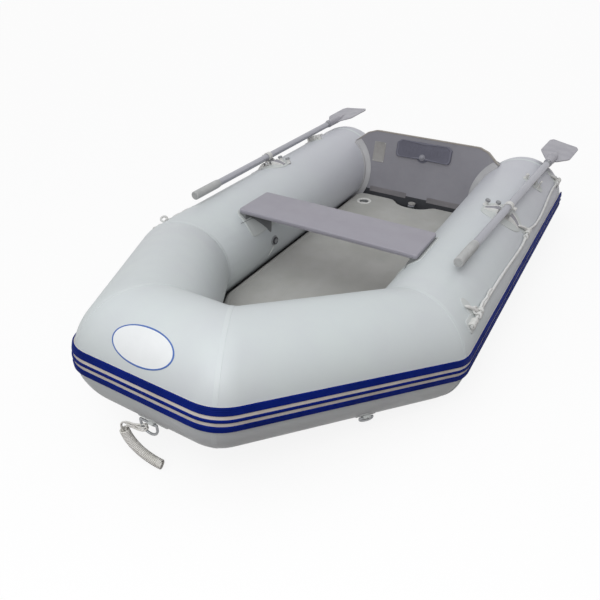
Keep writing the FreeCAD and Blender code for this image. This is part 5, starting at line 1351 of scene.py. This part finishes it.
def bottom_piece(name, rows, stands_for):
    """A sheet from rows of (y, half width, height of its edge, height of its middle)."""
    rows = np.array(rows)
    at = np.linspace(0, len(rows) - 1, (len(rows) - 1) * 6 + 1)
    dense = np.stack([np.interp(at, range(len(rows)), rows[:, k]) for k in range(4)], axis=1)
    across = np.linspace(-1, 1, 45)
    rise = (np.sqrt(across ** 2 + SKIN_ROUND ** 2) - SKIN_ROUND) / (math.sqrt(1 + SKIN_ROUND ** 2) - SKIN_ROUND)
    section = []
    for y, half, edge_z, mid_z in dense:
        low, high = ([(x * half, y, z + lift) for x, z in zip(across, mid_z + (edge_z - mid_z) * rise)]
                     for lift in (0.0001, SKIN_THICK - 0.0001))
        section.append(low + high[::-1])
    return Build().solid(section).end(name, "bottom_cloth", stands_for=stands_for, slot="bottom_fabric",
                                      sharp=50.0)


rows = [(y, SKIN_HALF, SKIN_EDGE_Z, SKIN_LOW) for y in (0.7777, 0.50, 0.20, -0.10, -0.30, MITRE_Y)]
bow_rows = [(MITRE_Y - GAP, SKIN_HALF, SKIN_EDGE_Z, SKIN_LOW)]
# Where the sheet meets the shoulder tube: share of its length, angle round it, and how much the sheet's
# middle has risen there, in millimetres.
for share, angle, lift in ((0.12, 247.0, 0.5), (0.24, 254.0, 1.5), (0.36, 262.0, 4.0), (0.48, 262.0, 13.0),
                           (0.62, 262.0, 35.0), (0.80, 262.0, 71.0), (0.97, 262.0, 105.0)):
    out = SHOULDER_OUT * math.cos(deg(angle)) + SHOULDER_UP * math.sin(deg(angle))
    p = MITRE + (BOW - MITRE) * share + out * (TUBE_R + 0.00125)
    bow_rows.append((p[1], p[0], p[2] - SKIN_THICK, SKIN_LOW + lift / 1000))
aft_sheet = bottom_piece("bottom_sheet_aft", rows, ["bottom_aft"])
fore_sheet = bottom_piece("bottom_sheet_bow", bow_rows, ["bottom_bow"])

bands = Build()
for side in HANDS.values():
    for x in (0.150, 0.285):
        rings = []
        for a, h in ((-0.011, 0.0), (-0.009, -0.0007), (0.009, -0.0007), (0.011, 0.0)):
            z = SKIN_LOW + (SKIN_EDGE_Z - SKIN_LOW) * (x + a) / SKIN_HALF + h + 0.0001
            rings.append([np.array([x + a, y, z]) * side for y in np.linspace(MITRE_Y + 0.004, 0.770, 12)])
        bands.rings(rings, closed=False)
bands.end("bottom_wear_bands", "bottom_cloth", slot="bottom_fabric")

# ---------------------------------------------------------------- seat
SEAT_TOP, SEAT_THICK, SEAT_HALF = 0.352, 0.018, 0.3667
SEAT_AFT = 0.334        # the seat's middle, aft of the mitres
SEAT_EDGE = ((0.0062, 0.0), (0.0034, -0.0004), (0.0016, -0.0014), (0.0004, -0.0034), (0.0, -0.0052),
             (0.0, -0.0112), (0.0006, -0.0116), (0.0006, -0.0126), (0.0, -0.0130), (0.0, -0.0146),
             (0.0008, -0.0164), (0.0026, -0.0180))
seat = Build()
outline = rectangle(-SEAT_HALF, SEAT_HALF, -0.2303, -0.0323, 0.014, 8)
into = inward(outline)
seat.rings([[(*(p + n * inset), SEAT_TOP + z) for p, n in zip(outline, into)] for inset, z in SEAT_EDGE],
           mat_rows=[0] * 5 + [1] * 3 + [0] * 3)
count, total = len(outline), len(seat.points)
seat.fill(list(range(count)))
seat.fill(list(range(total - count, total)))
seat.end("seat_plank", ["seat_paint", "seat_edge"], body="seat", stands_for=["seat_board"], slot="seat_wood",
         sharp=35.0)

LEDGE_TOP = SEAT_TOP - SEAT_THICK - GAP
LEDGE = ((0.3394, 0.0010), (0.3404, 0.0002), (0.3660, 0.0002), (0.3668, 0.0010), (0.3668, 0.0080),
         (0.3630, 0.0180), (0.3560, 0.0280), (0.3440, 0.0280), (0.3402, 0.0150))
# Painted shade, in part: the ledges and flaps below the seat's ends are a darker grey than the tube, their own
# colour darkened for the shade the seat casts on them.
holders = Build()
for sign in (1, -1):
    levels = [(0.0070, 0.0020), (0.0062, 0.0022), (0.0018, 0.0022), (0.0008, 0.0018), (0.0, 0.0010), (0.0, -GAP)]
    holders.plate(box(0.0635, 0.107, 0.030, 9), levels, round_side(SEAT_AFT, 139.5, sign), 8)
    rings = []
    for y, inset in eased(-0.0928, 0.0928, ((0.0, 0.0015), (0.0006, 0.0005), (0.0018, 0.0))):
        section = []
        for x, down in LEDGE:
            z = LEDGE_TOP - down
            tube_x = MITRE[0] - math.sqrt((TUBE_R + 0.0005) ** 2 - (z - MITRE[2]) ** 2)
            section.append(np.array([sign * min(x, tube_x), MITRE_Y + SEAT_AFT + y, z - inset]))
        rings.append(section)
    holders.solid(rings, mat=1)
FLAP = ((-0.086, 123.5), (0.035, 153.7), (0.010, 166.5), (-0.080, 127.5))
for sign in (1, -1):
    world = round_side(SEAT_AFT, 0.0, sign)
    flap = rounded_outline([(aft, deg(angle) * TUBE_R) for aft, angle in FLAP], 0.003, 4)
    holders.plate(flap, [(0.0022, 0.0030), (0.0008, 0.0030), (0.0002, 0.0026), (0.0, 0.0)],
                  lambda a, b, h: world(b, a, h), 8, mat=1)
    strap = [on_side(SEAT_AFT - 0.128 + 0.150 * w, 135.5 + 5.0 * w, 0.0024, sign) for w in np.linspace(0, 1, 16)]
    holders.solid(tube_rings(strap, 0.0010, 10), mat=1)
holders.end("seat_rests", ["patch_cloth", "flap_grey"], stands_for=["seat_holders"], slot="tube_fabric",
            sharp=35.0)

# ---------------------------------------------------------------- tube valves
TUBE_VALVE = np.array([0.288, MITRE_Y + 0.360, 0.180])
VALVE_SEAT = [(-0.030, 0.0150), (0.0003, 0.0150), (0.0003, 0.0215), (0.0018, 0.0215), (0.0043, 0.0196),
              (0.0043, 0.0092), (-0.020, 0.0090)]
VALVE_CAP = [(0.0046, 0.0004), (0.0046, 0.0148), (0.0052, 0.0152), (0.0098, 0.0150), (0.0110, 0.0142),
             (0.0114, 0.0130), (0.0106, 0.0112), (0.0092, 0.0108), (0.0088, 0.0004)]
TETHER = ((0.2870, -0.1120, 0.1585), (0.2845, -0.1210, 0.1500), (0.2868, -0.1330, 0.1400),
          (0.2884, -0.1400, 0.1330), (0.2898, -0.1460, 0.1270))
for side_name, side in HANDS.items():
    def at_valve(s, a, b):
        return (TUBE_VALVE + np.array([-s, a, b])) * side

    body = Build().rings(spin(rounded(VALVE_SEAT, 0.0010), at_valve, 40))
    body.end("valve_seat_" + side_name, "grey_moulded", stands_for=["tube_valve_" + side_name],
             slot="valve_plastic", sharp=35.0)
    cap = Build().rings(spin(VALVE_CAP, at_valve, 48), cap_first=True, cap_last=True, mat_rows=[0] * 6 + [1] * 2)
    cap.slab(box(0.0102, 0.0025, 0.0023, 5), 0.0086, 0.0130, 0.0010, lambda a, b, h: at_valve(h, a, b), 2, mat=1)
    cap.rings(spin([(-0.0120, 0.0004), (-0.0120, 0.0086), (0.0046, 0.0088)], at_valve, 32), cap_first=True)
    cap.end("valve_cap_" + side_name, ["dark_moulded", "grey_moulded"], body="tube_cap_" + side_name,
            stands_for=["tube_valve_cap_" + side_name], slot="valve_plastic", sharp=35.0)
    tether = Build().solid(tube_rings(spline_points([np.array(p) * side for p in TETHER], 0.002), 0.0013, 10))
    tether.end("valve_tether_" + side_name, "pale_moulded", slot="valve_plastic")

# ---------------------------------------------------------------- rings and their pads
WIRE_R = 0.0037
PAD_ANGLE = deg(-38.0)
PAD_EDGE = [(0.0012, 0.0020), (0.0004, 0.0016), (0.0, 0.0010), (0.0, -GAP)]
TOW_RUN = 0.42          # share of a shoulder tube's length
TOW_SHIFT = -0.014      # how far the drawn ring lies from the frame's own, along the tube
TOW_BAR = np.array([0.444969, -0.783905, 0.112954])


def bow_pad_world(along_x, down, height):
    """On the bow tube round the ring's bar: across, down the surface, off it."""
    a, r = PAD_ANGLE - down / TUBE_R, TUBE_R + GAP + height
    return np.array([along_x, BOW[1] - r * math.cos(a), BOW[2] + r * math.sin(a)])


pad = Build()
pad.plate(oval(0.0525, 0.0250, 72, 1.45), [(0.0050, 0.0020)] + PAD_EDGE, bow_pad_world, 8)
pad.slab(box(0.0095, 0.0085, 0.003, 4), 0.0005, 0.0118, 0.0022, bow_pad_world, 3)
tip = rounded_outline([(0.030, -0.010), (0.0500, -0.0015), (0.0500, 0.0015), (0.030, 0.010)], 0.002, 4)
pad.plate(tip, [(0.001, 0.0026), (0.0003, 0.0023), (0.0, 0.0015)], bow_pad_world, 3, mat=1)
pad.end("bow_ring_mount", ["patch_cloth", "grey_moulded"], stands_for=["bow_ring_pad"], slot="tube_fabric",
        sharp=35.0)


def ring_loop(name, body, middle, along, half, drop, depth, down):
    """A welded D ring: its bar lies along `along`, and its bow hangs below."""
    def at(a, b):
        return middle + along * half * a + down * drop * b

    line = [at(0.93 * w, 0.0) for w in np.linspace(-1, 1, 18, endpoint=False)]
    line += bend(at(0.93, 0.0), at(1, 0.0), at(1, 0.2), 6, endpoint=False)
    line += [at(1, w) for w in np.linspace(0.2, 1, 4, endpoint=False)]
    line += [at(math.cos(t), 1) + down * depth * math.sin(t) for t in np.linspace(0, math.pi, 36)]
    line += [at(-1, w) for w in np.linspace(0.8, 0.2, 4)]
    line += bend(at(-1, 0.2), at(-1, 0.0), at(-0.93, 0.0), 6, endpoint=False)
    plane = unit(np.cross(along, down))
    rings = []
    for i, p in enumerate(line):
        side = np.cross(unit(line[(i + 1) % len(line)] - line[i - 1]), plane)
        rings.append([p + WIRE_R * (math.cos(u) * side + math.sin(u) * plane) for u in circle(20)])
    build = Build().rings(rings, loop=True)
    build.rings([[at(0.45, 0.0) + along * s + WIRE_R * share * (math.cos(u) * down + math.sin(u) * plane)
                  for u in circle(20)]
                 for s, share in ((-0.0022, 0.98), (-0.0012, 1.10), (0.0, 1.14), (0.0012, 1.10), (0.0022, 0.98))])
    build.end(name, "galvanised", body=body, stands_for=[body], slot="bright_steel", sharp=60.0)


ring_loop("bow_d_ring", "bow_ring", RING_BAR - X * 0.012, -X, 0.029, 0.013, 0.029, -Z)
tow = Build()
for side_name, side in HANDS.items():
    def tow_world(a, b, height):
        """Along the shoulder tube, down its surface, off it."""
        angle = PAD_ANGLE - b / TUBE_R
        n = SHOULDER_OUT * math.cos(angle) + SHOULDER_UP * math.sin(angle)
        along = (BOW - MITRE) * TOW_RUN + T_SHOULDER * (a + TOW_SHIFT)
        return (MITRE + along + n * (TUBE_R + GAP + height)) * side

    tow.plate(oval(0.0335, 0.0185, 60, 1.6), [(0.0040, 0.0020)] + PAD_EDGE, tow_world, 7)
    tow.slab(box(0.0125, 0.0080, 0.003, 4), 0.0005, 0.0116, 0.0022, tow_world, 3)
    along = T_SHOULDER * side
    ring_loop("tow_d_ring_" + side_name, "tow_ring_" + side_name, TOW_BAR * side + along * TOW_SHIFT, along,
              0.0215, 0.003, 0.0075, unit(-Z - along * np.dot(-Z, along)))
tow.end("tow_ring_mounts", "patch_cloth", stands_for=["tow_ring_pads"], slot="tube_fabric", sharp=35.0)

# ---------------------------------------------------------------- CAD solids that stay
# Painted shade: the rowlock yokes are a mid grey, darker than their pale brackets, for the shade under the
# collars.
KEPT = {"transom_board": ("board_paint", 0.0030), "deck_valve_cap": ("pale_moulded", 0.0010),
        "keel_valve_cap": ("plate_grey", 0.0010), "drain_tube": ("dark_moulded", 0.0010),
        "drain_plug": ("dark_moulded", 0.0010), "rowlock_yoke_right": ("grey_moulded", 0.0010),
        "rowlock_yoke_left": ("grey_moulded", 0.0010), "rowlock_pins": ("steel", 0.0006)}
for name, (mat, bevel) in KEPT.items():
    node = frame["nodes"][name]
    node.data.materials.clear()
    node.data.materials.append(MATS[mat])
    for slot in node.material_slots:
        slot.material = MATS[mat]
    weld = node.modifiers.new("weld", "WELD")
    weld.merge_threshold = 0.00002
    ease = node.modifiers.new("ease", "BEVEL")
    ease.width = bevel
    ease.segments = 3
    ease.limit_method = "ANGLE"
    ease.angle_limit = deg(35.0)


# ---------------------------------------------------------------- floor, world and lamps
SEEN = ("Is Camera Ray", "Is Glossy Ray", "Is Transmission Ray")


def seen_rays(shading):
    """1 for the rays that see the background as it is, 0 for those that light the object."""
    rays = shading.add("LightPath", {}).outputs
    total = rays[SEEN[0]]
    for name in SEEN[1:]:
        total = shading.maths("MAXIMUM", total, rays[name])
    return total


FLOOR_BOUNCE = (0.055, 0.034, 0.032, 1.0)   # the floor's colour as it lights the object
FLOOR_SEEN = (0.98, 0.98, 0.98, 1.0)
FLOOR_GLOW = 0.87       # share of the seen floor that is plain white, without shadow
FLOOR_HALF = 40
HORIZON, ZENITH = 0.19, 0.63                # strength of the sky
SKY_LOW, SKY_HIGH, SKY_SEEN = (1.0, 0.90, 0.92, 1.0), (1.0, 1.04, 1.05, 1.0), (1.0, 1.0, 1.0, 1.0)
floor_mat = bpy.data.materials.new("floor")
floor_mat.use_nodes = True
ground = Shading(floor_mat.node_tree)
seen = seen_rays(ground)
matt = ground.join(ground.nodes["Principled BSDF"], {
    "Roughness": 0.95, "Specular IOR Level": 0.0, "Base Color": ground.mix(seen, FLOOR_BOUNCE, FLOOR_SEEN)})
white = ground.add("Emission", {"Strength": 1.0})
blend = ground.add("MixShader", {0: ground.maths("MULTIPLY", seen, FLOOR_GLOW), 1: matt.outputs[0],
                                 2: white.outputs[0]})
ground.join(ground.nodes["Material Output"], {"Surface": blend.outputs[0]})
floor_mesh = bpy.data.meshes.new("floor")
floor_mesh.from_pydata([(-FLOOR_HALF, -FLOOR_HALF, 0), (FLOOR_HALF, -FLOOR_HALF, 0), (FLOOR_HALF, FLOOR_HALF, 0),
                        (-FLOOR_HALF, FLOOR_HALF, 0)], [], [(0, 1, 2, 3)])
floor_mesh.materials.append(floor_mat)
floor = bpy.data.objects.new("floor", floor_mesh)
scene.collection.objects.link(floor)

world = bpy.data.worlds.new("world")
scene.world = world
world.use_nodes = True
sky = Shading(world.node_tree)
height = sky.part(sky.add("TexCoord", {}).outputs["Generated"], "Z")
height = sky.add("MapRange", {"From Max": 0.8, "To Min": HORIZON, "To Max": ZENITH, "Value": height}).outputs[0]
seen = seen_rays(sky)
sky.join(sky.nodes["Background"], {
    "Strength": sky.add("Mix", {0: seen, 2: height, 3: 1.0}).outputs[0],
    "Color": sky.mix(seen, sky.mix(height, SKY_LOW, SKY_HIGH), SKY_SEEN)})


def lamp(name, kind, energy, turn, place=(0.0, 0.0, 0.0)):
    data = bpy.data.lights.new(name, kind)
    data.energy = energy
    obj = bpy.data.objects.new(name, data)
    obj.location = place
    obj.rotation_euler = [deg(a) for a in turn]
    scene.collection.objects.link(obj)
    return data


key = lamp("key", "SUN", 0.80, (0.0, 24.0, -105.0))
key.angle = deg(60.0)
key.color = (0.96, 1.0, 1.0)
lamp("softbox", "AREA", 13.5, (50.0, 0.0, 20.0), (0.70, -2.05, 1.75)).size = 1.0
scene.view_settings.view_transform = "Standard"
